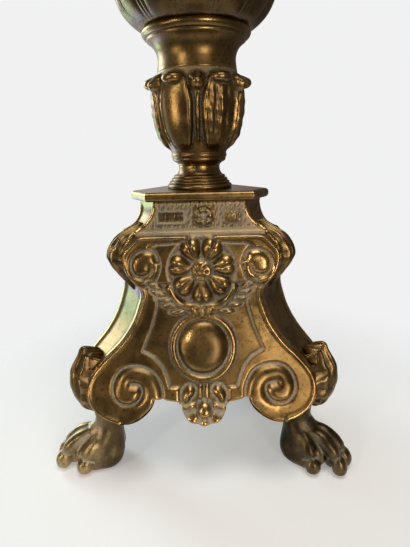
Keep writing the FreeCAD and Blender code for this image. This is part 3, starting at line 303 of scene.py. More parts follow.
FLOWER = (0.3, 144.0)
FLOWER_RADIUS = 23.0
PETALS = 7
PETAL_LENGTH = 21.8
BUTTON_RADIUS = 6.3
BUTTON_MOAT = 7.4
PIT_RING = 3.3
PITS_ROUND = 6


def flower(x, z, height, residue):
    """Open flower of two-lobed petals round a pitted button."""
    fx, fz = x - FLOWER[0], z - FLOWER[1]
    radius = np.hypot(fx, fz)
    petal_turn = (np.arctan2(fz, fx) + math.pi / 2) * PETALS / (2 * math.pi)
    across = np.abs(np.mod(petal_turn + 0.5, 1.0) - 0.5)
    envelope = dome(across, 0.24 + 0.245 * step(5.0, 14.0, radius))
    rim = PETAL_LENGTH - 1.6 * hump(across, 0.07) - 4.2 * (across / 0.48) ** 3
    rounding = dome(np.clip(radius - rim + 6.0, 0, 9), 6.0)
    crease = 1 - 0.34 * hump(across, 0.06)
    petal = envelope * rounding * (2.2 + 3.0 * step(7.0, 17.0, radius)) * crease
    ground = step(18.5, FLOWER_RADIUS, radius)
    height = np.where(radius < FLOWER_RADIUS, np.maximum(height * ground, petal + 0.2), height)
    gap = 0.5 * step(0.35, 0.05, envelope * rounding) * step(6.5, 8.0, radius)
    residue = np.where(radius < FLOWER_RADIUS, np.maximum(residue * ground, gap), residue)
    pits = step(1.3, 0.4, radius)
    for pit in range(PITS_ROUND):
        angle = 2 * math.pi * pit / PITS_ROUND
        pit_place = (PIT_RING * math.cos(angle), PIT_RING * math.sin(angle))
        pits = np.maximum(pits, step(1.3, 0.4, from_place(fx, fz, pit_place)))
    height = np.where(radius < BUTTON_MOAT, 0.5, height)
    height = np.where(radius < BUTTON_RADIUS, 2.2 + 3.0 * dome(radius, 7.6) - 1.5 * pits, height)
    return height, np.maximum(residue, hump(radius - 7.2, 0.8))


BOSS = (0.2, 94.0)
BOSS_HALVES = (16.6, 16.4)
BOSS_RISE = 5.4
RING_RISE = 2.7
RING_MIDDLE = 3.3


def boss(x, z, height, residue):
    """Domed oval boss, the channel round it and its ring."""
    oval = np.hypot((x - BOSS[0]) / BOSS_HALVES[0], (z - BOSS[1]) / BOSS_HALVES[1])
    away = (oval - 1) * sum(BOSS_HALVES) / 2
    height = np.where(away < 6.6, 0.0, height)
    height = np.where((away > 1.0) & (away < 5.6), RING_RISE * dome(away - RING_MIDDLE, 2.4) ** 0.8, height)
    height = np.where(oval < 1, 0.4 + BOSS_RISE * np.clip(1 - oval ** 3.2, 0, 1) ** 0.75, height)
    residue = np.where(away < 6.0, 0.0, residue)
    residue = np.maximum(residue, hump(away - 0.8, 0.65))
    return height, np.maximum(residue, 0.8 * hump(away - 5.9, 0.5))


# Middle and outer lobes of the husk: across, level, half width, half height and lean
HUSK_LOBES = ((0.2, 117.2, 2.9, 5.2, 0.0), (5.0, 118.2, 2.7, 4.2, 0.35))
HUSK_RISE = 4.6


def husk(x, z, height, residue):
    """Three-lobed husk over the ring."""
    for across, level, wide, tall, lean in HUSK_LOBES:
        beside = np.abs(x) - across + lean * (level - z)
        lobe = dome(np.hypot(beside / wide, (z - level) / tall), 1.0)
        height = np.maximum(height, HUSK_RISE * lobe)
        residue = np.where(lobe > 0.2, residue * 0.25, residue)
    return height, residue


EAR_RISE = 3.4
BAR_RISE = 2.6
BAR_RADIUS = 1.4
SHELL_ROOT = 60.4
SHELL_FLUTES = 8.0
SHELL_BEAD = (0.3, 58.2)
SHELL_BEAD_RADIUS = 4.4


def shell(x, z, height, residue):
    """Two ears and two bars over the fluted pendant shell, with a bead at its root."""
    side = np.abs(x)
    ear = inside_distance(side, z, smooth_curve(EAR + EAR[:1], EAR_STEPS))
    low = step(73.0, 71.5, z) * step(17.5, 15.0, side)
    height = np.where(low > 0, height * (1 - 0.75 * low), height)
    height = np.maximum(height, EAR_RISE * np.clip(ear / EAR_RISE, 0, 1) ** 0.5)
    residue = np.maximum(residue, hump(ear + 0.7, 0.7) * low)
    height = np.maximum(height, BAR_RISE * dome(line_distance(side, z, BAR), BAR_RADIUS))
    fan = np.hypot(side, z - SHELL_ROOT)
    flute = np.cos(np.arctan2(side, SHELL_ROOT - z) * SHELL_FLUTES)
    fluted = (z < 60.8) & (fan < 16.0)
    height = np.where(fluted, 1.6 + 1.7 * (0.5 + 0.5 * flute) ** 0.6 * step(4.0, 8.0, fan), height)
    between = 0.9 * step(0.1, -0.8, flute) * step(4.5, 6.5, fan)
    residue = np.where(fluted, np.maximum(residue, between), residue)
    bead = from_place(x, z, SHELL_BEAD)
    height = np.where(bead < 5.6, 0.6, height)
    height = np.where(bead < SHELL_BEAD_RADIUS, 2.4 + 3.2 * dome(bead, SHELL_BEAD_RADIUS), height)
    return height, np.maximum(residue, hump(bead - 5.0, 0.7))


BLOCK_LEVELS = (172.6, 181.0)
SUNK_BLOCK = (-28.0, -10.0)
RAISED_BLOCK = (14.5, 27.0)
RAISED_KNOB = (20.6, 176.8)
ROSETTE = (2.2, 177.4)
ROSETTE_RADIUS = 6.0
ROSETTE_BLADES = 6


def inside_block(x, z, span):
    """Distance inside a block of the frieze."""
    across = np.minimum(x - span[0], span[1] - x)
    return np.minimum(across, np.minimum(z - BLOCK_LEVELS[0], BLOCK_LEVELS[1] - z))


def frieze(x, z, height, residue):
    """Architrave and frieze: a sunk block, a raised block and a rosette on a striated ground."""
    above = step(169.4, 171.0, z)
    strip = step(164.8, 166.8, z) * (1 - above)
    height = height * (1 - above) * (1 - strip) + 0.3 * strip
    residue = residue * (1 - above) * (1 - strip) + 0.42 * strip
    grain = np.sin(x * 3.3 + 1.3 * np.sin(z * 0.9 + x)) * np.sin(x * 1.1 + z * 0.35)
    height += 0.4 * grain * above
    residue = np.maximum(residue, (0.6 + 0.9 * grain) * above)
    sunk = inside_block(x, z, SUNK_BLOCK)
    raised = inside_block(x, z, RAISED_BLOCK)
    height += 1.3 * hump(sunk - 0.3, 0.7) - 0.5 * step(0.8, 1.6, sunk)
    height += 1.4 * step(0.0, 1.0, raised) + 0.8 * dome(from_place(x, z, RAISED_KNOB), 3.4)
    residue = np.where(sunk > 1.2, 0.05, np.where(sunk > -0.6, 0.9, residue))
    residue = np.where(raised > 0.8, 0.15, np.where(raised > -0.8, 0.7, residue))
    rx, rz = x - ROSETTE[0], z - ROSETTE[1]
    rose = np.hypot(rx, rz)
    blades = 0.5 + 0.5 * np.cos(np.arctan2(rz, rx) * ROSETTE_BLADES)
    petals = 0.6 + 1.3 * dome(rose - 4.0, 2.0) * (0.5 + 0.5 * blades) + 1.6 * dome(rose, 2.0)
    height += np.where(rose < ROSETTE_RADIUS, petals, 0.0)
    residue = np.where(np.maximum(np.abs(rx), np.abs(rz + 0.2)) < 7.4, residue * 0.2, residue)
    residue = np.where(rose < ROSETTE_RADIUS, 0.5 * step(0.6, 0.2, blades), residue)
    return height, np.where(rose < 2.2, 0.9, residue)


EDGE_ROUND = 1.4
EDGE_WIDTH = 1.8


def face_relief(x, z, inset, right, left):
    """Height of the carving over the ground of a face, its edges rounded, and the polish in its grooves."""
    height, residue = straps(x, z, right, left)
    for carve in (upper_scrolls, sprays, flower, boss, husk, shell, frieze):
        height, residue = carve(x, z, height, residue)
    return height - EDGE_ROUND * np.clip(1 - inset / EDGE_WIDTH, 0, 1) ** 2, np.clip(residue, 0, 1)


MM = 0.001


def new_object(name, points, faces):
    """A smooth-shaded mesh object from points in millimetres."""
    mesh = bpy.data.meshes.new(name)
    mesh.from_pydata((np.asarray(points) * MM).tolist(), [], [tuple(int(i) for i in face) for face in faces])
    mesh.validate()
    mesh.update()
    mesh.polygons.foreach_set("use_smooth", np.ones(len(mesh.polygons), bool))
    obj = bpy.data.objects.new(name, mesh)
    bpy.context.scene.collection.objects.link(obj)
    return obj


def averaged(points, ends, rounds):
    """The points drawn towards the mean of their neighbours, round after round."""
    first, second = ends.T
    count = len(points)
    degree = np.maximum(np.bincount(first, minlength=count) + np.bincount(second, minlength=count), 1)
    soft = points.copy()
    for _ in range(rounds):
        gathered = np.column_stack([
            np.bincount(first, soft[second, axis], count) + np.bincount(second, soft[first, axis], count)
            for axis in range(3)
        ])
        soft = 0.5 * soft + 0.5 * gathered / degree[:, None]
    return soft


def fetched(items, key, width, kind=float):
    """One value of every vertex or edge of a mesh."""
    values = np.empty(len(items) * width, kind)
    items.foreach_get(key, values)
    return values.reshape(-1, width)


def weather_and_paint_light(obj, depth, rounds=14, residue=None, painted_light=0.0):
    """Stores wear with painted highlights (below a half in hollows, above on crests and where highlights are
    painted), painted shade and residue.
    """
    mesh = obj.data
    points = fetched(mesh.vertices, "co", 3)
    soft = averaged(points, fetched(mesh.edges, "vertices", 2, int), rounds)
    hollow = np.einsum("ij,ij->i", soft - points, fetched(mesh.vertices, "normal", 3)) / MM
    painted_tone = np.broadcast_to(painted_light, len(points))
    # painted highlights raise the wear value; painted shade is stored apart from it
    worn_and_lit = np.clip(0.5 - 0.5 * hollow / depth + np.maximum(painted_tone, 0), 0, 1)
    marks = {"wear_and_highlight": worn_and_lit, "painted_shade": np.clip(-painted_tone, 0, 1)}
    if residue is not None:
        marks["residue"] = residue
    for label, amount in marks.items():
        stored = mesh.attributes.new(label, "FLOAT", "POINT")
        stored.data.foreach_set("value", np.asarray(amount, np.float32))


def trimmed_sheet(xs, zs, outline):
    """A grid of the face cut clean along an outline: across, level and triangles or quads."""
    gx, gz = np.meshgrid(xs, zs)
    far = inside_distance(gx, gz, outline)
    columns = len(xs)
    points = list(zip(gx.ravel(), gz.ravel()))
    depth = far.ravel()
    keep = depth > 0
    cuts = {}
    faces = []

    def cut(a, b):
        key = (min(a, b), max(a, b))
        if key not in cuts:
            share = depth[a] / (depth[a] - depth[b])
            pa, pb = points[a], points[b]
            cuts[key] = len(points)
            points.append((pa[0] + (pb[0] - pa[0]) * share, pa[1] + (pb[1] - pa[1]) * share))
        return cuts[key]

    for row in range(len(zs) - 1):
        for column in range(columns - 1):
            a = row * columns + column
            ring = (a, a + 1, a + 1 + columns, a + columns)
            held = [keep[i] for i in ring]
            if all(held):
                faces.append(ring)
            elif any(held):
                run = []
                for i in range(4):
                    here, there = ring[i], ring[(i + 1) % 4]
                    if keep[here]:
                        run.append(here)
                    if keep[here] != keep[there]:
                        run.append(cut(here, there))
                if len(run) > 2:
                    faces.append(tuple(run))
    used = sorted({i for face in faces for i in face})
    place = {old: new for new, old in enumerate(used)}
    flat = np.array([points[i] for i in used])
    return flat, [tuple(place[i] for i in face) for face in faces]


GRID = 0.75
FACE_SPAN = (-78.75, 78.8)
FACE_LEVELS = (46.5, 187.01)
RIM_DEPTH = (0.0, 6.0, 0.0)


def face_sheet(right, left):
    """One carved face between two corners, its cut edge carried back into the casting by a plain rim."""
    outline = face_outline(right, left)
    flat, sheet_faces = trimmed_sheet(np.arange(*FACE_SPAN, GRID), np.arange(*FACE_LEVELS, GRID), outline)
    inset = line_distance(flat[:, 0], flat[:, 1], outline, closed=True)
    carved, polish = face_relief(flat[:, 0], flat[:, 1], inset, right, left)
    points = np.column_stack([flat[:, 0], -apothem(flat[:, 1]) - carved, flat[:, 1]])
    uses = {}
    for face in sheet_faces:
        for here, there in zip(face, face[1:] + face[:1]):
            uses.setdefault((min(here, there), max(here, there)), []).append((here, there))
    rim_points = {}
    rim_faces = []
    back = []
    for here, there in (use[0] for use in uses.values() if len(use) == 1):
        for index in (here, there):
            if index not in rim_points:
                rim_points[index] = len(points) + len(back)
                back.append(points[index] + RIM_DEPTH)
        rim_faces.append((there, here, rim_points[here], rim_points[there]))
    return np.vstack([points, back]), sheet_faces + rim_faces, np.concatenate([polish, np.zeros(len(back))])


def turned(points, degrees):
    """The points turned about the axis."""
    cos, sin = math.cos(math.radians(degrees)), math.sin(math.radians(degrees))
    x, y, z = np.asarray(points).T
    return np.column_stack([x * cos - y * sin, x * sin + y * cos, z])


def feed(tree, socket, item):
    """Sets a number or colour on a shader socket, or links an output to it."""
    if isinstance(item, (float, tuple)):
        socket.default_value = item
    else:
        tree.links.new(item, socket)


def reckon(tree, operation, first, second):
    """Output of a new math node."""
    node = tree.nodes.new("ShaderNodeMath")
    node.operation = operation
    feed(tree, node.inputs[0], first)
    feed(tree, node.inputs[1], second)
    return node.outputs[0]


def ramp(tree, source, low, high):
    """Output of a new node that steps smoothly from nought at low to one at high."""
    node = tree.nodes.new("ShaderNodeMapRange")
    node.interpolation_type = "SMOOTHSTEP"
    node.inputs["From Min"].default_value = low
    node.inputs["From Max"].default_value = high
    tree.links.new(source, node.inputs["Value"])
    return node.outputs["Result"]


VERDIGRIS = (0.34, 0.36, 0.28, 1.0)


def aged_metal():
    """Shared patina: mottled brass, dark in the hollows, pale in the grooves, rubbed on the crests, with the
    painted highlights and painted shade that the mesh carries.
    """
    group = bpy.data.node_groups.new("aged_metal", "ShaderNodeTree")
    for label in ("Mid", "Rubbed And Lit", "Recess And Shade", "Residue"):
        group.interface.new_socket(label, in_out="INPUT", socket_type="NodeSocketColor")
    for label in ("Residue Amount", "Wear Base", "Seed"):
        group.interface.new_socket(label, in_out="INPUT", socket_type="NodeSocketFloat")
    group.interface.new_socket("Color", in_out="OUTPUT", socket_type="NodeSocketColor")
    for label in ("Roughness", "Metallic", "Height"):
        group.interface.new_socket(label, in_out="OUTPUT", socket_type="NodeSocketFloat")
    nodes, links = group.nodes, group.links
    given = nodes.new("NodeGroupInput").outputs
    outputs = nodes.new("NodeGroupOutput")
    coords = nodes.new("ShaderNodeTexCoord")

    def attribute(label):
        node = nodes.new("ShaderNodeAttribute")
        node.attribute_name = label
        return node.outputs["Fac"]

    def noise(scale, detail, rough=0.55):
        node = nodes.new("ShaderNodeTexNoise")
        node.noise_dimensions = "4D"
        node.inputs["Scale"].default_value = scale
        node.inputs["Detail"].default_value = detail
        node.inputs["Roughness"].default_value = rough
        links.new(coords.outputs["Object"], node.inputs["Vector"])
        links.new(given["Seed"], node.inputs["W"])
        return node.outputs["Fac"]

    def plus(first, second):
        return reckon(group, "ADD", first, second)

    def times(first, second):
        return reckon(group, "MULTIPLY", first, second)

    def about_half(source, amount):
        return times(reckon(group, "SUBTRACT", source, 0.5), amount)

    def mix(factor, first, second, kind="RGBA"):
        node = nodes.new("ShaderNodeMix")
        node.data_type = kind
        socket_kind = "RGBA" if kind == "RGBA" else "VALUE"
        low, high = [socket for socket in node.inputs if socket.type == socket_kind][-2:]
        links.new(factor, node.inputs[0])
        feed(group, low, first)
        feed(group, high, second)
        return [socket for socket in node.outputs if socket.type == socket_kind][0]

    broad = noise(22.0, 3.0)
    mottle = noise(120.0, 4.0)
    grit = noise(900.0, 3.0, 0.7)
    worn_and_lit = plus(plus(attribute("wear_and_highlight"), given["Wear Base"]), about_half(mottle, 0.35))
    # crests are rubbed bright, and painted highlights from the mesh brighten their places too
    crest_and_highlight = ramp(group, plus(worn_and_lit, about_half(broad, 0.5)), 0.5, 0.95)
    hollow = ramp(group, worn_and_lit, 0.46, 0.16)
    settled = times(times(ramp(group, worn_and_lit, 0.34, 0.1), ramp(group, grit, 0.38, 0.62)), 0.6)
    left_over = times(attribute("residue"), ramp(group, grit, 0.25, 0.6))
    groove = times(reckon(group, "MAXIMUM", settled, left_over), given["Residue Amount"])
    blotch = times(ramp(group, noise(60.0, 4.0, 0.65), 0.54, 0.38), 0.45)
    speck = times(ramp(group, noise(520.0, 2.0), 0.55, 0.69), 0.7)
    color = mix(crest_and_highlight, given["Mid"], given["Rubbed And Lit"])
    # painted shade from the mesh darkens the colour here, together with the hollows, blotches and specks
    for darkening in (hollow, attribute("painted_shade"), blotch, speck):
        color = mix(darkening, color, given["Recess And Shade"])
    lime = mix(ramp(group, broad, 0.45, 0.62), given["Residue"], VERDIGRIS)
    rough = mix(crest_and_highlight, 0.34, 0.24, "FLOAT")
    rough = mix(hollow, rough, 0.55, "FLOAT")
    rough = mix(groove, rough, 0.85, "FLOAT")
    metal = mix(groove, mix(hollow, 1.0, 0.75, "FLOAT"), 0.1, "FLOAT")
    links.new(mix(groove, color, lime), outputs.inputs["Color"])
    links.new(plus(rough, about_half(mottle, 0.22)), outputs.inputs["Roughness"])
    links.new(metal, outputs.inputs["Metallic"])
    links.new(plus(times(mottle, 0.6), times(grit, 0.4)), outputs.inputs["Height"])
    return group


patina = aged_metal()
BUMP_HEIGHT = 0.6 * MM


def metal_material(name, mid, rubbed_and_lit, recess_and_shade, residue, amount, seed, bump, wear_and_highlight=0.0):
    """Old metal in four colours, with its amount of residue, its noise and its roughness of surface."""
    material = bpy.data.materials.new(name)
    material.use_nodes = True
    nodes, links = material.node_tree.nodes, material.node_tree.links
    shader = nodes["Principled BSDF"]
    coat = nodes.new("ShaderNodeGroup")
    coat.node_tree = patina
    for label, number in (("Mid", mid), ("Rubbed And Lit", rubbed_and_lit), ("Recess And Shade", recess_and_shade), ("Residue", residue)):
        coat.inputs[label].default_value = (*number, 1.0)
    coat.inputs["Residue Amount"].default_value = amount
    coat.inputs["Wear Base"].default_value = wear_and_highlight
    coat.inputs["Seed"].default_value = seed
    relief = nodes.new("ShaderNodeBump")
    relief.inputs["Strength"].default_value = bump
    relief.inputs["Distance"].default_value = BUMP_HEIGHT
    links.new(coat.outputs["Height"], relief.inputs["Height"])
    links.new(coat.outputs["Color"], shader.inputs["Base Color"])
    for label in ("Roughness", "Metallic"):
        links.new(coat.outputs[label], shader.inputs[label])
    links.new(relief.outputs["Normal"], shader.inputs["Normal"])
    return material


def dress(piece, material, body="stand"):
    """Gives a brass piece its material and the body that it rides on."""
    piece.data.materials.append(material)
    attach(piece, body)


base_brass = metal_material(
    "base_brass", mid=(0.24, 0.15, 0.055), rubbed_and_lit=(0.48, 0.31, 0.12), recess_and_shade=(0.05, 0.036, 0.02),
    residue=(0.50, 0.44, 0.35), amount=1.0, seed=1.0, bump=0.22,
)

FACE_CORNERS = (
    ("front", 0.0, "front_right", "front_left"),
    ("right", 120.0, "rear", "front_right"),
    ("left", 240.0, "front_left", "rear"),
)
# Painted light and shade on the front: painted highlights on its right half, the eye of the right upper
# scroll and the boss's upper left; painted shade on its left half, the right panel, the boss's lower right,
# the flower, under the upper scrolls and on the frieze blocks and rosette. Across, level, spread, change
FRONT_PAINTED_LIGHT = (
    (38.0, 149.0, 8.0, 0.8), (44.0, 112.0, 22.0, 0.4), (46.0, 60.0, 16.0, 0.22), (26.0, 88.0, 10.0, -0.2),
    (-44.0, 112.0, 24.0, -0.4), (-22.0, 92.0, 14.0, -0.36), (-38.0, 148.0, 12.0, -0.28),
    (6.0, 91.0, 11.0, -0.75), (0.0, 144.0, 22.0, -0.2), (-50.0, 66.0, 16.0, -0.14),
    (-24.0, 160.0, 6.0, -0.5), (24.0, 160.0, 6.0, -0.4), (-9.0, 102.0, 7.0, 0.4),
    (-23.0, 177.0, 5.0, -0.6), (-15.0, 177.0, 5.0, -0.6), (2.2, 177.4, 7.0, -0.5),
)
base_faces = []
for name, degrees, right, left in FACE_CORNERS:
    face_points, face_mesh, face_polish = face_sheet(right, left)
    # painted highlights and painted shade, on the front face only
    painted_tone = np.zeros(len(face_points))
    if name == "front":
        for across, level, spread, change in FRONT_PAINTED_LIGHT:
            far = from_place(face_points[:, 0], face_points[:, 2], (across, level))
            painted_tone += change * hump(far, spread)
    sheet = new_object(f"base_face_{name}", turned(face_points, degrees), face_mesh)
    weather_and_paint_light(sheet, depth=0.9, residue=face_polish, painted_light=painted_tone)
    dress(sheet, base_brass)
    base_faces.append(sheet)


# The three corners of the same casting: a broad ribbon from the frieze down round the roll of each scroll,
# hollow between two raised borders that meet the faces.

# The corners with their turns about the axis in degrees
CORNERS = (("front_right", 60.0), ("rear", 180.0), ("front_left", 300.0))
RIBBON_COLUMNS = 27
LEAST_HALF_WIDTH = 6.0
FRIEZE_FOOT = 168.0


def quads(rows, columns, closed=False):
    """Faces of a sheet of points, row by row, or of one closed on itself both ways."""
    faces = []
    for row in range(rows if closed else rows - 1):
        here, there = row * columns, (row + 1) % rows * columns
        for column in range(columns if closed else columns - 1):
            beside = (column + 1) % columns
            faces.append((here + column, here + beside, there + beside, there + column))
    return faces


def laid_along(path, half, across, lift, way):
    """Points of a sheet lifted off its path along a corner, which runs up (way 1) or down (way -1)."""
    slope = np.gradient(path, axis=0)
    slope /= np.linalg.norm(slope, axis=1)[:, None]
    out = way * np.column_stack([slope[:, 1], -slope[:, 0]])
    return np.column_stack([
        (half[:, None] * across).ravel(),
        -(path[:, :1] + out[:, :1] * lift).ravel(),
        (path[:, 1:] + out[:, 1:] * lift).ravel(),
    ])


share_across = np.linspace(-1, 1, RIBBON_COLUMNS)
off_middle = np.abs(share_across)
border = 0.9 * step(0.62, 0.8, off_middle) - 1.2 * step(0.93, 1.0, off_middle) - 0.3
ribbon_faces = [(a, d, c, b) for a, b, c, d in quads(CORNER_STEPS, RIBBON_COLUMNS)]
for name, degrees in CORNERS:
    path = corner_run(name)
    path_reach, path_level = path.T
    edge_relief = np.where(path_level > FRIEZE_FOOT, 0.2, 1.7)
    half_width = (apothem(path_level) + edge_relief) / math.cos(SLANT)
    half_width = np.maximum(half_width - path_reach * math.tan(SLANT), LEAST_HALF_WIDTH)
    lift = border * step(186.0, 180.0, path_level)[:, None]
    ribbon_points = laid_along(path, half_width, share_across, lift, way=-1)
    ribbon = new_object(f"base_corner_{name}", turned(ribbon_points, degrees), ribbon_faces)
    weather_and_paint_light(ribbon, depth=0.5)
    dress(ribbon, base_brass)
    base_faces.append(ribbon)
for piece in base_faces:
    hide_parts("base_casting")


# Acanthus leaf on each corner roll, cast in one with the base: thick and folded lengthwise, its lobed edges
# lie on the ribbon, and a small lip turns out at its top.
LEAF_COLUMNS = 33
LEAF_THICKNESS = 1.6 * MM


def leaf_sheet(spine_points, halves, lobes, folds, vein, rows):
    """Points and faces of a leaf, foot to tip: its middle on the spine, its edges on the ribbon."""
    spine = smooth_curve(spine_points, rows)
    share = np.linspace(0, 1, rows)
    half = np.interp(share, np.linspace(0, 1, len(halves)), halves)
    half = half * (0.93 + 0.14 * np.abs(np.sin(share * math.pi * lobes)))
    across = np.linspace(-1, 1, LEAF_COLUMNS)
    beside = np.abs(across)
    drop = line_distance(spine[:, 0], spine[:, 1], smooth_curve(CORNER_PATH, CORNER_STEPS)) + 0.8
    lift = 0.9 * np.cos(beside * 2 * math.pi * folds) * step(1.0, 0.7, beside) - drop[:, None] * beside ** 2.8
    lift = lift + vein * np.sin(share[:, None] * 2 * math.pi * lobes + beside * 5.0) * step(0.15, 0.5, beside)
    return laid_along(spine, half, across, lift, way=1), quads(rows, LEAF_COLUMNS)


leaf_brass = metal_material(
    "leaf_brass", mid=(0.16, 0.105, 0.045), rubbed_and_lit=(0.32, 0.21, 0.085), recess_and_shade=(0.035, 0.026, 0.016),
    residue=(0.36, 0.32, 0.23), amount=0.8, seed=2.0, bump=0.4,
)


def lay_leaves(title, points, faces):
    """One leaf on each corner."""
    for name, degrees in CORNERS:
        leaf = new_object(f"{title}_{name}", turned(points, degrees), faces)
        weather_and_paint_light(leaf, depth=0.6, rounds=6)
        thick = leaf.modifiers.new("thickness", "SOLIDIFY")
        thick.thickness = LEAF_THICKNESS
        thick.offset = -1.0
        dress(leaf, leaf_brass)


LEAF_SPINE = (
    (84.0, 46.0), (90.4, 46.6), (96.4, 51.4), (100.4, 58.4), (102.2, 67.0), (101.6, 76.0), (98.6, 83.6),
    (95.4, 88.8), (93.9, 92.0), (91.6, 93.2), (87.0, 92.0), (81.0, 88.6),
)
LEAF_HALVES = (5.0, 10.0, 14.0, 16.5, 16.5, 14.5, 11.0, 8.5, 7.5, 6.5, 5.0)
leaf_points, leaf_faces = leaf_sheet(LEAF_SPINE, LEAF_HALVES, lobes=5.0, folds=3.0, vein=0.6, rows=84)
lay_leaves("corner_leaf", leaf_points, leaf_faces)


# Smaller leaf over each upper scroll, also cast in one with the base: it swells over the roll and closes
# under it.
UPPER_SPINE = (
    (53.6, 127.6), (59.4, 135.0), (64.2, 141.6), (67.6, 146.6), (69.5, 152.0), (68.4, 157.4), (65.0, 162.0),
    (60.0, 165.8), (53.6, 169.2), (45.4, 172.4),
)
UPPER_HALVES = (3.0, 5.0, 7.0, 9.0, 10.0, 10.0, 9.6, 8.6, 7.0, 5.0)
leaf_points, leaf_faces = leaf_sheet(UPPER_SPINE, UPPER_HALVES, lobes=4.0, folds=2.0, vein=0.25, rows=70)
lay_leaves("upper_leaf", leaf_points, leaf_faces)


# Lion's paws of cast brass, each in one piece and screwed under a scroll from inside: a waisted ankle, a
# rounded heel and four knuckled toes with short tips. The front ones sit askew, and the right one is dark.
ANKLE_REACH = 78.0
# Lines of balls under the skin: ahead, up and radius; heel and flank have how far aside put first
ANKLE = (
    (0.0, 52.0, 11.4), (-0.3, 42.0, 10.5), (-0.6, 32.0, 10.1), (0.0, 22.0, 10.3), (1.5, 12.0, 10.6),
    (1.9, 8.2, 8.4),
)
HEEL = ((0.0, -0.8, 24.0, 9.6), (6.5, -0.9, 8.9, 8.7), (7.0, 11.0, 6.9, 8.9))
FLANK = ((2.0, 1.0, 27.0, 9.4), (5.4, 4.6, 18.0, 9.4), (7.4, 9.4, 10.5, 9.0))
INSTEP = (
    (3.0, 29.0, 9.0), (9.0, 22.0, 9.2), (14.0, 16.0, 8.8), (18.0, 11.0, 8.2), (14.0, 8.6, 8.6),
    (5.0, 8.6, 8.6),
)
PAD = ((15.0, 17.0, 7.4), (21.0, 13.0, 7.2), (26.0, 8.6, 6.2), (27.0, 5.6, 5.6))
SIDE_PAD = ((10.0, 14.0, 7.6), (14.0, 10.0, 7.4), (15.7, 7.0, 6.4), (16.0, 6.0, 6.0))
MIDDLE_TOE = (
    (10.0, 24.3, 4.2), (15.2, 24.9, 4.6), (20.7, 22.9, 5.1), (25.7, 19.0, 5.3), (29.0, 15.8, 4.8),
    (30.9, 13.0, 3.2), (32.5, 10.4, 5.0), (33.9, 7.2, 5.6), (34.1, 5.4, 5.4),
)
OUTER_TOE = (
    (5.0, 24.4, 5.0), (9.1, 22.2, 5.4), (13.1, 18.6, 5.9), (16.2, 14.4, 5.7), (17.9, 11.0, 3.4),
    (19.3, 8.4, 5.3), (20.4, 6.2, 5.8), (20.5, 5.7, 5.7),
)
# Each toe: its line, how far it starts aside, how it splays, and the joint between knuckle and tip
TOES = (
    (MIDDLE_TOE, -2.0, -5.7, (30.9, 13.0)), (MIDDLE_TOE, 2.0, 5.7, (30.9, 13.0)),
    (OUTER_TOE, -3.4, -29.7, (17.9, 11.0)), (OUTER_TOE, 3.4, 29.7, (17.9, 11.0)),
)
# How far each gap between the toes starts aside, and how it splays
TOE_GAPS = ((-2.7, -17.7), (0.0, 0.0), (2.7, 17.7))
# How each paw is turned and moved out from its true place
PAW_TURNS = {"front_right": -3.3, "rear": 0.0, "front_left": -23.7}
PAW_SHIFTS = {"front_right": -0.5, "rear": 0.0, "front_left": 1.8}
INSTEP_SPLAY = 20.0
PAD_SPLAY = 25.0
JOINT_REACH = 6.5
CHAIN_STEPS = 26
PAW_VOXEL = 0.8
PAW_SMOOTHING = 30


def ball_chain(stations, turn=0.0, start=0.0):
    """Balls (aside, ahead, up, radius) filled in along (ahead, up, radius) stations."""
    run = smooth_curve(stations, CHAIN_STEPS)
    ahead, up, radius = run.T
    angle = math.radians(turn)
    return np.column_stack([start + ahead * math.sin(angle), ahead * math.cos(angle), up, radius])


def skinned(name, balls, voxel):
    """Points, faces and edges of one skin drawn over a cluster of balls."""
    ball = bmesh.new()
    bmesh.ops.create_icosphere(ball, subdivisions=2, radius=1.0)
    round_points = np.array([vertex.co for vertex in ball.verts])
    round_faces = np.array([[vertex.index for vertex in face.verts] for face in ball.faces])
    ball.free()
    points = (balls[:, None, :3] + round_points * balls[:, None, 3:]).reshape(-1, 3)
    faces = (round_faces + len(round_points) * np.arange(len(balls))[:, None, None]).reshape(-1, 3)
    cluster = new_object(name, points, faces)
    skin = cluster.modifiers.new("skin", "REMESH")
    skin.mode = "VOXEL"
    skin.voxel_size = voxel * MM
    bpy.context.view_layer.update()
    seen = cluster.evaluated_get(bpy.context.evaluated_depsgraph_get())
    drawn = bpy.data.meshes.new_from_object(seen)
    skin_points = fetched(drawn.vertices, "co", 3) / MM
    skin_faces = [tuple(face.vertices) for face in drawn.polygons]
    ends = fetched(drawn.edges, "vertices", 2, int)
    bpy.data.objects.remove(cluster)
    bpy.data.meshes.remove(drawn)
    return averaged(skin_points, ends, 2), skin_faces, ends


paw_balls = [ball_chain(ANKLE), ball_chain(INSTEP), ball_chain(PAD)]
for aside in (-1, 1):
    paw_balls += [ball_chain(INSTEP[2:], INSTEP_SPLAY * aside), ball_chain(SIDE_PAD, PAD_SPLAY * aside)]
    for swelling in (HEEL, FLANK):
        paw_balls.append(smooth_curve(swelling, CHAIN_STEPS) * (aside, 1, 1, 1))
for toe, toe_start, toe_turn, joint in TOES:
    paw_balls.append(ball_chain(toe, toe_turn, toe_start))
paw_points, paw_faces, paw_edges = skinned("paw_cluster", np.vstack(paw_balls), PAW_VOXEL)
calm = step(13.0, 5.0, paw_points[:, 1:2])
paw_points += calm * (averaged(paw_points, paw_edges, PAW_SMOOTHING) - paw_points)
paw_points[:, 2] = np.maximum(paw_points[:, 2], 0.0)
paw_aside, paw_ahead, paw_up = paw_points.T


def along_and_beside(start, splay):
    """How far every point of the paw lies along a line that splays from its middle, and beside it."""
    angle = math.radians(splay)
    aside = paw_aside - start
    along = aside * math.sin(angle) + paw_ahead * math.cos(angle)
    return along, aside * math.cos(angle) - paw_ahead * math.sin(angle)


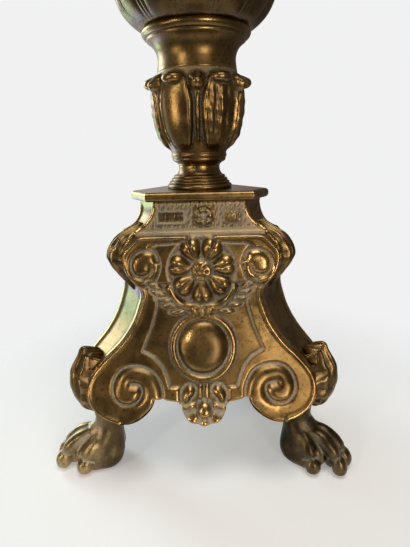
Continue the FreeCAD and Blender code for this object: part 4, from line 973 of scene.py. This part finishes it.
# Polish has dried white in the joints, between the toes and on the instep; painted shade darkens the heel and
# ankle
paw_lime = 0.35 * hump(np.hypot((paw_ahead - 9.0) / 5.0, (paw_up - 33.0) / 8.0), 1.0)
for toe, toe_start, toe_turn, joint in TOES:
    along, beside = along_and_beside(toe_start, toe_turn)
    along, rise = along - joint[0], paw_up - joint[1]
    near = np.sqrt(along ** 2 + beside ** 2 + rise ** 2) < JOINT_REACH
    paw_lime = np.maximum(paw_lime, np.where(near, hump(0.5 * along - 0.87 * rise, 0.9), 0.0))
for gap_start, gap_turn in TOE_GAPS:
    along, beside = along_and_beside(gap_start, gap_turn)
    between = hump(beside, 0.9) * step(10.0, 16.0, paw_ahead) * step(5.0, 8.0, paw_up)
    paw_lime = np.maximum(paw_lime, 0.75 * between)
# painted shade on the heel and ankle
paw_painted_shade = -0.75 * step(10.0, 0.0, paw_ahead) * step(60.0, 34.0, paw_up)
paw_points = paw_points * (1, -1, 1)
paw_faces = [face[::-1] for face in paw_faces]
paw_brass = metal_material(
    "paw_brass", mid=(0.31, 0.22, 0.105), rubbed_and_lit=(0.60, 0.44, 0.21), recess_and_shade=(0.045, 0.032, 0.018),
    residue=(0.60, 0.55, 0.45), amount=0.95, seed=7.0, bump=0.45,
)
dark_brass = metal_material(
    "dark_brass", mid=(0.10, 0.07, 0.036), rubbed_and_lit=(0.32, 0.21, 0.09), recess_and_shade=(0.022, 0.018, 0.013),
    residue=(0.22, 0.19, 0.14), amount=0.6, seed=8.0, bump=0.45,
)
for name, degrees in CORNERS:
    set_out = turned(paw_points, PAW_TURNS[name]) - (0, ANKLE_REACH + PAW_SHIFTS[name], 0)
    paw = new_object(f"paw_{name}", turned(set_out, degrees), paw_faces)
    weather_and_paint_light(paw, depth=0.7, rounds=8, residue=paw_lime, painted_light=paw_painted_shade)
    dress(paw, dark_brass if name == "front_right" else paw_brass)
    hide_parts(f"paw_foot_{name}")


# The cornice slab, cast in brass with a worn edge, lies on the base under the stem. Rod, washer, nut,
# pricket and foot screws are forged iron and hold the rest together. All are shown as their CAD solids.
SLAB_WEAR = 1.4 * MM
slab_brass = metal_material(
    "slab_brass", mid=(0.26, 0.165, 0.06), rubbed_and_lit=(0.48, 0.31, 0.12), recess_and_shade=(0.07, 0.05, 0.025),
    residue=(0.34, 0.30, 0.20), amount=0.5, seed=6.0, bump=0.25, wear_and_highlight=0.55,
)
iron = metal_material(
    "forged_iron", mid=(0.09, 0.085, 0.08), rubbed_and_lit=(0.20, 0.19, 0.18), recess_and_shade=(0.03, 0.028, 0.026),
    residue=(0.12, 0.07, 0.04), amount=0.4, seed=5.0, bump=0.4, wear_and_highlight=0.5,
)
IRON_NODES = ("foot_screws", "pricket_spike", "tie_rod", "tie_rod_washer", "tie_rod_nut")
for name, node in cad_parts.items():
    node.data.materials.clear()
    node.data.materials.append(iron if name in IRON_NODES else slab_brass)
worn_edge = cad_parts["cornice_slab"].modifiers.new("worn_edge", "BEVEL")
worn_edge.width = SLAB_WEAR
worn_edge.segments = 3


# Turned pieces of the stem, of brass, threaded on the iron rod and seated one on the other, with the loose
# drip pan on top. Each is one lathe section from its seat up: rounds are bowed lines, edges a little worn.
ROD_BORE = 5.5
PAN_BORE = 9.4
turned_brass = metal_material(
    "turned_brass", mid=(0.19, 0.12, 0.045), rubbed_and_lit=(0.34, 0.22, 0.085), recess_and_shade=(0.07, 0.05, 0.025),
    residue=(0.34, 0.30, 0.20), amount=0.7, seed=3.0, bump=0.2,
)
BOW_STEPS = 14
SHARP_TURN = 28


def section_run(corners, cut=0.45):
    """Points of a half section: (radius, level[, bow]) corners, bows filled in and sharp edges eased."""
    run = [np.array(corners[0][:2], float)]
    for before, corner in zip(corners, corners[1:]):
        start, end = np.array(before[:2], float), np.array(corner[:2], float)
        if len(corner) > 2:
            chord = end - start
            aside = np.array([chord[1], -chord[0]]) / np.hypot(*chord)
            for share in np.linspace(0, 1, BOW_STEPS)[1:-1]:
                run.append(start + chord * share + aside * 4 * share * (1 - share) * corner[2])
        run.append(end)
    eased = [run[0]]
    for before, here, after in zip(run, run[1:], run[2:]):
        back, ahead = before - here, after - here
        long_back, long_ahead = np.hypot(*back), np.hypot(*ahead)
        turn = math.degrees(math.acos(np.clip(-(back @ ahead) / (long_back * long_ahead), -1, 1)))
        if turn < SHARP_TURN:
            eased.append(here)
            continue
        near = here + back * min(cut / long_back, 0.4)
        far = here + ahead * min(cut / long_ahead, 0.4)
        eased += [near, (near + far + 2 * here) / 4, far]
    return np.array(eased + [run[-1]])


def seat_of(name):
    """Level of the foot of a CAD node, in millimetres."""
    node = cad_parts[name]
    return min((node.matrix_world @ vertex.co).z for vertex in node.data.vertices) / MM


def spun(name, node, reach, levels, bore=ROD_BORE):
    """A piece on its CAD node's seat from the radii of its rows, closed on its bore."""
    columns = reach.shape[1]
    angle = 2 * math.pi * np.arange(columns) / columns
    reach = np.pad(reach, ((1, 1), (0, 0)), constant_values=bore)
    heights = np.pad(levels, 1, mode="edge") + seat_of(node)
    points = np.column_stack([
        (reach * np.sin(angle)).ravel(),
        (-reach * np.cos(angle)).ravel(),
        np.repeat(heights, columns),
    ])
    return new_object(name, points, quads(len(heights), columns, closed=True))


def lathe(name, node, corners, body="stand", columns=96, bore=ROD_BORE):
    """A turned piece in the place of its CAD node."""
    run = section_run(corners)
    piece = spun(name, node, np.repeat(run[:, :1], columns, axis=1), run[:, 1], bore)
    weather_and_paint_light(piece, depth=0.35, rounds=6)
    dress(piece, turned_brass, body)
    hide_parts(node)


lathe("socle_turning", "socle", (
    (21.6, 0.0), (21.8, 3.0, 0.8), (20.6, 3.4), (20.4, 4.9, 0.5), (19.2, 5.2), (18.9, 6.9, 0.5), (17.6, 7.2),
    (17.2, 8.9, 0.5), (15.9, 9.3), (14.1, 15.2, -0.7),
))
lathe("neck_turning", "neck_ring", (
    (26.2, 0.0), (25.3, 7.0, -0.1), (31.2, 17.6, -1.6), (31.9, 18.0), (31.9, 19.2), (33.2, 19.4),
    (32.6, 25.0, 2.0),
))
lathe("collar_turning", "bulb_collar", ((19.5, 0.0), (19.5, 6.0, 2.6), (16.5, 6.2), (16.5, 8.5)))
lathe("stem_turning", "baluster_stem", (
    (15.0, 0.0), (15.0, 5.0, 1.6), (12.6, 5.2), (20.5, 36.0, 4.0), (11.4, 102.5, -3.5), (13.2, 102.7),
    (13.2, 107.0, 1.6), (12.2, 107.2), (12.2, 112.0),
))
lathe("knop_ring_turning", "knop_ring", ((14.2, 0.0), (14.2, 7.0, 2.6)))
lathe("knop_turning", "upper_knop", ((13.0, 0.0), (14.0, 2.0), (14.0, 26.0, 9.0), (12.4, 28.0)))
lathe("capital_turning", "candle_capital", (
    (12.4, 0.0), (12.4, 4.0, 1.6), (12.0, 4.2), (31.0, 20.5, -4.6), (31.0, 27.0, 1.8),
))
lathe("pan_turning", "drip_pan", (
    (27.0, 0.0), (57.0, 7.8, -2.4), (57.0, 10.0, 0.7), (53.6, 10.0), (27.0, 2.2, 2.4),
), body="pan", columns=128, bore=PAN_BORE)


# Vase of cast brass on the socle, clamped by the rod: six broad leaves whose tips curl out, and a stalked
# bud between each two. The front left leaf is worn smooth and carries a painted highlight, and the right one
# painted shade.
def wrapped(name, node, levels, radius, residue, painted_light, depth, columns):
    """A cast piece of revolution whose radius varies round the axis."""
    turn, level = np.meshgrid(2 * math.pi * np.arange(columns) / columns, levels)
    piece = spun(name, node, radius(turn, level), levels)
    polish = np.pad(residue(turn, level), ((1, 1), (0, 0)))
    painted_tone = np.pad(painted_light(turn, level), ((1, 1), (0, 0)))
    weather_and_paint_light(piece, depth, rounds=10, residue=polish.ravel(), painted_light=painted_tone.ravel())
    dress(piece, vase_brass)
    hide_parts(node)


VASE_CURVE = (
    (14.1, 0.0), (15.0, 1.4), (17.0, 2.8), (18.1, 4.4), (18.4, 6.4), (18.7, 8.4), (19.6, 10.6), (21.8, 14.0),
    (24.2, 19.0), (26.0, 25.0), (27.2, 32.0), (27.8, 39.0), (28.0, 46.0), (27.4, 52.0), (26.2, 58.3),
)
CURVE_STEPS = 160
vase_run = smooth_curve(VASE_CURVE, CURVE_STEPS)
# The leaves and buds round the vase: turns and half widths in degrees, levels over its seat
VASE_SPACING = 60.0
FIRST_LEAF = 30.0
WORN_LEAF = 330.0
LEAF_LEVELS = (9.5, 14.0, 24.0, 38.0, 50.0, 56.0)
LEAF_SPREADS = (12.0, 19.0, 23.5, 24.5, 19.0, 12.0)
LEAF_RISE = 2.6
TIP_LEVEL = 52.0
TIP_HALVES = (3.8, 4.8)
TIP_RISE = 5.6
TIP_SPREAD = 13.5
STALK_LEVELS = (14.0, 38.0, 47.0)
STALK_SPREADS = (1.8, 2.8, 6.0)
STALK_RISE = 2.2
BUD_LEVEL = 50.4
BUD_HALF = 5.6
BUD_RISE = 5.6
BUD_SPREAD = 11.0
VASE_ROWS = 110


def from_middle(turn, first, spacing):
    """Degrees from the nearest of evenly spaced places round the axis."""
    return np.mod(np.degrees(turn) - first + spacing / 2, spacing) - spacing / 2


def vase_radius(turn, level):
    """Radius of the vase: leaves with curled tips, and buds on stalks, over a foot with two rings."""
    reach = np.interp(level, vase_run[:, 1], vase_run[:, 0])
    leaf = from_middle(turn, FIRST_LEAF, VASE_SPACING)
    half = np.interp(level, LEAF_LEVELS, LEAF_SPREADS)
    share = np.abs(leaf) / half
    blade = LEAF_RISE * dome(share, 1.0) ** 0.6 + 0.8 * hump(share - 0.84, 0.07)
    blade -= 0.9 * hump(share - 1.07, 0.06)
    reach = reach + blade * step(9.0, 14.0, level) * step(56.5, 53.0, level)
    tip_half = np.where(level < TIP_LEVEL, *TIP_HALVES)
    reach = reach + TIP_RISE * dome(np.hypot(leaf / TIP_SPREAD, (level - TIP_LEVEL) / tip_half), 1.0)
    # every leaf but the worn one has a rib and a fold on either side
    crisp = np.abs(np.mod(np.degrees(turn), 360.0) - WORN_LEAF) > VASE_SPACING / 2
    folds = hump(leaf, 1.8) - 0.7 * hump(np.abs(leaf) - 8.0, 1.8)
    folds += 0.35 * np.sin(0.6 * level + 0.45 * leaf) * np.sin(0.25 * level - 0.35 * leaf)
    reach = reach + np.where(crisp, folds, 0.0) * step(14.0, 20.0, level) * step(50.0, 44.0, level)
    bud = from_middle(turn, 0.0, VASE_SPACING)
    stalk = dome(bud, np.interp(level, STALK_LEVELS, STALK_SPREADS))
    reach = reach + STALK_RISE * stalk * step(12.0, 18.0, level) * step(53.0, 49.0, level)
    reach = reach + 0.6 * dome(level - 6.6, 1.3) + 0.5 * dome(level - 3.4, 1.2)
    return reach + BUD_RISE * dome(np.hypot(bud / BUD_SPREAD, (level - BUD_LEVEL) / BUD_HALF), 1.0)


def vase_residue(turn, level):
    """Polish left in dots beside the stalks, and round the top."""
    bud = np.abs(from_middle(turn, 0.0, VASE_SPACING))
    dots = 0.55 + 0.45 * np.sin(level * 3.4)
    beside = hump(bud - 4.4, 1.2) * dots * step(16.0, 22.0, level) * step(50.0, 46.0, level)
    return np.clip(np.maximum(beside, 0.5 * step(53.5, 56.0, level)), 0, 1)


def vase_painted_light(turn, level):
    """Painted highlight on the worn front left leaf, painted shade on the crumpled right one."""
    rubbed_and_lit = hump(from_middle(turn, 332.0, 360.0), 13.0) * hump(level - 35.0, 10.0)
    shaded = hump(from_middle(turn, FIRST_LEAF, 360.0), 20.0) * hump(level - 32.0, 18.0)
    return 0.65 * rubbed_and_lit - 0.2 * shaded


vase_brass = metal_material(
    "vase_brass", mid=(0.20, 0.125, 0.046), rubbed_and_lit=(0.37, 0.235, 0.09), recess_and_shade=(0.045, 0.032, 0.018),
    residue=(0.36, 0.31, 0.21), amount=0.9, seed=4.0, bump=0.4,
)
vase_levels = np.linspace(0.0, VASE_CURVE[-1][1], VASE_ROWS)
wrapped(
    "vase_casting", "acanthus_vase", vase_levels, vase_radius, vase_residue, vase_painted_light,
    depth=0.7, columns=240,
)


# Hollow bulb of the same cast brass, clamped between neck and collar by the rod: twelve swelling gadroons,
# each pair parted by two thin fillets.
BULB_CURVE = (
    (36.0, 0.0), (38.6, 1.6), (42.0, 4.6), (45.4, 8.8), (48.0, 14.0), (50.4, 21.5), (52.0, 30.0),
    (51.2, 40.0), (46.0, 50.6), (37.0, 59.4), (28.0, 64.0), (21.0, 66.0),
)
BULB_HEIGHT = BULB_CURVE[-1][1]
GADROON_SPACING = 30.0
GADROON_RISE = 2.6
PARTING_RISE = 1.5
BULB_SINK = 1.4
BULB_ROWS = 70
bulb_run = smooth_curve(BULB_CURVE, CURVE_STEPS)


def off_gadroon(turn):
    """Nought in the middle of a gadroon and one midway between two."""
    return np.abs(from_middle(turn, 0.0, GADROON_SPACING)) / (GADROON_SPACING / 2)


def bulb_radius(turn, level):
    """Radius of the bulb, its gadroons running out at foot and top."""
    reach = np.interp(level, bulb_run[:, 1], bulb_run[:, 0])
    share = off_gadroon(turn)
    lobes = np.maximum(GADROON_RISE * dome(share, 0.72), PARTING_RISE * dome(share - 0.88, 0.12))
    return reach + (lobes - BULB_SINK) * np.sin(np.pi * np.clip(level / BULB_HEIGHT, 0, 1)) ** 0.5


def bulb_residue(turn, level):
    """Polish left round the foot of the bulb and beside its fillets."""
    return np.maximum(0.3 * step(2.5, 0.5, level), 0.2 * hump(off_gadroon(turn) - 0.74, 0.03))


def bulb_painted_shade(turn, level):
    """Painted shade on the underside of the bulb."""
    return -0.42 * step(46.0, 26.0, level)


bulb_levels = BULB_HEIGHT * (0.5 - 0.5 * np.cos(np.linspace(0, math.pi, BULB_ROWS)))
wrapped(
    "bulb_casting", "gadrooned_bulb", bulb_levels, bulb_radius, bulb_residue, bulb_painted_shade,
    depth=0.6, columns=288,
)


# Pale ground under the paws, no part of the object: it takes the soft shadow and fades out into the page,
# whose colour shows behind.
PAGE = (0.88, 0.88, 0.885, 1.0)
GROUND_RADIUS = 0.36
GROUND_SIDES = 64
GROUND_DROP = 0.4 * MM
GROUND_COLOR = (0.78, 0.81, 0.85, 1.0)
GROUND_GLOW = 0.3
FADE_RADII = (0.34, 0.10)
ground_mesh = bpy.data.meshes.new("ground")
around = 2 * math.pi * np.arange(GROUND_SIDES) / GROUND_SIDES
ground_rim = [(GROUND_RADIUS * math.cos(angle), GROUND_RADIUS * math.sin(angle), 0.0) for angle in around]
ground_mesh.from_pydata(ground_rim, [], [tuple(range(GROUND_SIDES))])
ground = bpy.data.objects.new("ground", ground_mesh)
ground.location = (0, 0, -GROUND_DROP)
bpy.context.scene.collection.objects.link(ground)
ground_paint = bpy.data.materials.new("ground_paint")
ground_paint.use_nodes = True
tree = ground_paint.node_tree
paint = tree.nodes["Principled BSDF"]
paint.inputs["Base Color"].default_value = GROUND_COLOR
paint.inputs["Roughness"].default_value = 0.9
paint.inputs["Emission Color"].default_value = PAGE
rays = tree.nodes.new("ShaderNodeLightPath")
shown = rays.outputs["Is Camera Ray"]
for ray in ("Is Glossy Ray", "Is Transmission Ray"):
    shown = reckon(tree, "MAXIMUM", shown, rays.outputs[ray])
tree.links.new(reckon(tree, "MULTIPLY", shown, GROUND_GLOW), paint.inputs["Emission Strength"])
place = tree.nodes.new("ShaderNodeTexCoord")
length = tree.nodes.new("ShaderNodeVectorMath")
length.operation = "LENGTH"
tree.links.new(place.outputs["Object"], length.inputs[0])
tree.links.new(ramp(tree, length.outputs["Value"], *FADE_RADII), paint.inputs["Alpha"])
ground_mesh.materials.append(ground_paint)


# Camera, fitted to the edges of the base in the photograph: how far it stands from the axis and how high,
# then its turns in degrees round the axis, down, over and aside.
CAMERA_REACH = 0.2978
CAMERA_LEVEL = 0.21862
CAMERA_TURNS = (0.48, 16.66, -1.23, -0.45)
eye = bpy.data.cameras.new("camera")
eye.sensor_fit = "AUTO"
eye.sensor_width = 36.0
eye.lens = 27.31
eye.clip_start = 0.01
camera = bpy.data.objects.new("camera", eye)
bpy.context.scene.collection.objects.link(camera)
aside, tilt, roll, pan = (math.radians(angle) for angle in CAMERA_TURNS)
ahead = Vector((-math.sin(aside) * math.cos(tilt), math.cos(aside) * math.cos(tilt), -math.sin(tilt)))
ahead.rotate(Matrix.Rotation(pan, 3, "Z"))
level_right = ahead.cross(Vector((0, 0, 1))).normalized()
level_up = level_right.cross(ahead)
right = level_right * math.cos(roll) + level_up * math.sin(roll)
up = level_up * math.cos(roll) - level_right * math.sin(roll)
turn = Matrix((right, up, -ahead)).transposed().to_4x4()
spot = Vector((CAMERA_REACH * math.sin(aside), -CAMERA_REACH * math.cos(aside), CAMERA_LEVEL))
camera.matrix_world = Matrix.Translation(spot) @ turn
bpy.context.scene.camera = camera
bpy.context.scene.view_settings.view_transform = "Standard"


# Light: a cool window on the left, a broad warm ceiling light, a lamp, and walls on either side.
def area_light(name, place, aim, wide, tall, power, color):
    """A rectangular light aimed at a point."""
    lamp = bpy.data.lights.new(name, "AREA")
    lamp.shape = "RECTANGLE"
    lamp.size = wide
    lamp.size_y = tall
    lamp.energy = power
    lamp.color = color
    holder = bpy.data.objects.new(name, lamp)
    holder.location = place
    holder.rotation_euler = (Vector(aim) - Vector(place)).to_track_quat("-Z", "Y").to_euler()
    bpy.context.scene.collection.objects.link(holder)


area_light("ceiling", (0.1, -0.35, 1.3), (0, 0, 0.1), 0.7, 0.5, 7.0, (1.0, 0.93, 0.82))
area_light("window", (-1.0, 0.75, 0.6), (0, 0, 0.15), 0.5, 0.7, 8.0, (0.78, 0.95, 1.0))
area_light("garden", (-0.72, 0.56, 0.06), (0, 0, 0.12), 0.3, 0.22, 1.1, (0.5, 1.0, 0.72))
area_light("sky", (-0.66, 0.58, -0.2), (0, 0, 0.12), 0.3, 0.22, 1.6, (0.35, 0.45, 1.0))
area_light("lamp", (-0.85, -0.95, 0.66), (0, 0, 0.15), 0.16, 0.16, 2.6, (1.0, 0.88, 0.70))
area_light("left_wall", (-1.0, -0.66, 0.16), (0, 0, 0.2), 0.3, 0.4, 1.8, (1.0, 0.82, 0.60))
area_light("right_wall", (0.53, -1.32, 0.3), (0, 0, 0.12), 0.36, 0.7, 6.5, (1.0, 0.86, 0.68))

# The room is dim. The page shows behind the object, and the metal mirrors a pale wall behind on the left.
ROOM_COLOR = (0.26, 0.23, 0.20, 1.0)
ROOM_STRENGTH = 0.55
WALL_HEADING = (-0.6, 0.8, 0.0)
world = bpy.data.worlds.new("room")
bpy.context.scene.world = world
world.use_nodes = True
tree = world.node_tree
room = tree.nodes["Background"]
room.inputs["Color"].default_value = ROOM_COLOR
room.inputs["Strength"].default_value = ROOM_STRENGTH
page = tree.nodes.new("ShaderNodeBackground")
page.inputs["Color"].default_value = PAGE
rays = tree.nodes.new("ShaderNodeLightPath")
heading = tree.nodes.new("ShaderNodeTexCoord")
towards = tree.nodes.new("ShaderNodeVectorMath")
towards.operation = "DOT_PRODUCT"
towards.inputs[1].default_value = WALL_HEADING
tree.links.new(heading.outputs["Generated"], towards.inputs[0])
wall = ramp(tree, towards.outputs["Value"], 0.6, 0.92)
mirrored = reckon(tree, "MAXIMUM", rays.outputs["Is Glossy Ray"], rays.outputs["Is Transmission Ray"])
shown = reckon(tree, "MAXIMUM", rays.outputs["Is Camera Ray"], reckon(tree, "MULTIPLY", mirrored, wall))
choose = tree.nodes.new("ShaderNodeMixShader")
tree.links.new(shown, choose.inputs["Fac"])
tree.links.new(room.outputs["Background"], choose.inputs[1])
tree.links.new(page.outputs["Background"], choose.inputs[2])
tree.links.new(choose.outputs["Shader"], tree.nodes["World Output"].inputs["Surface"])
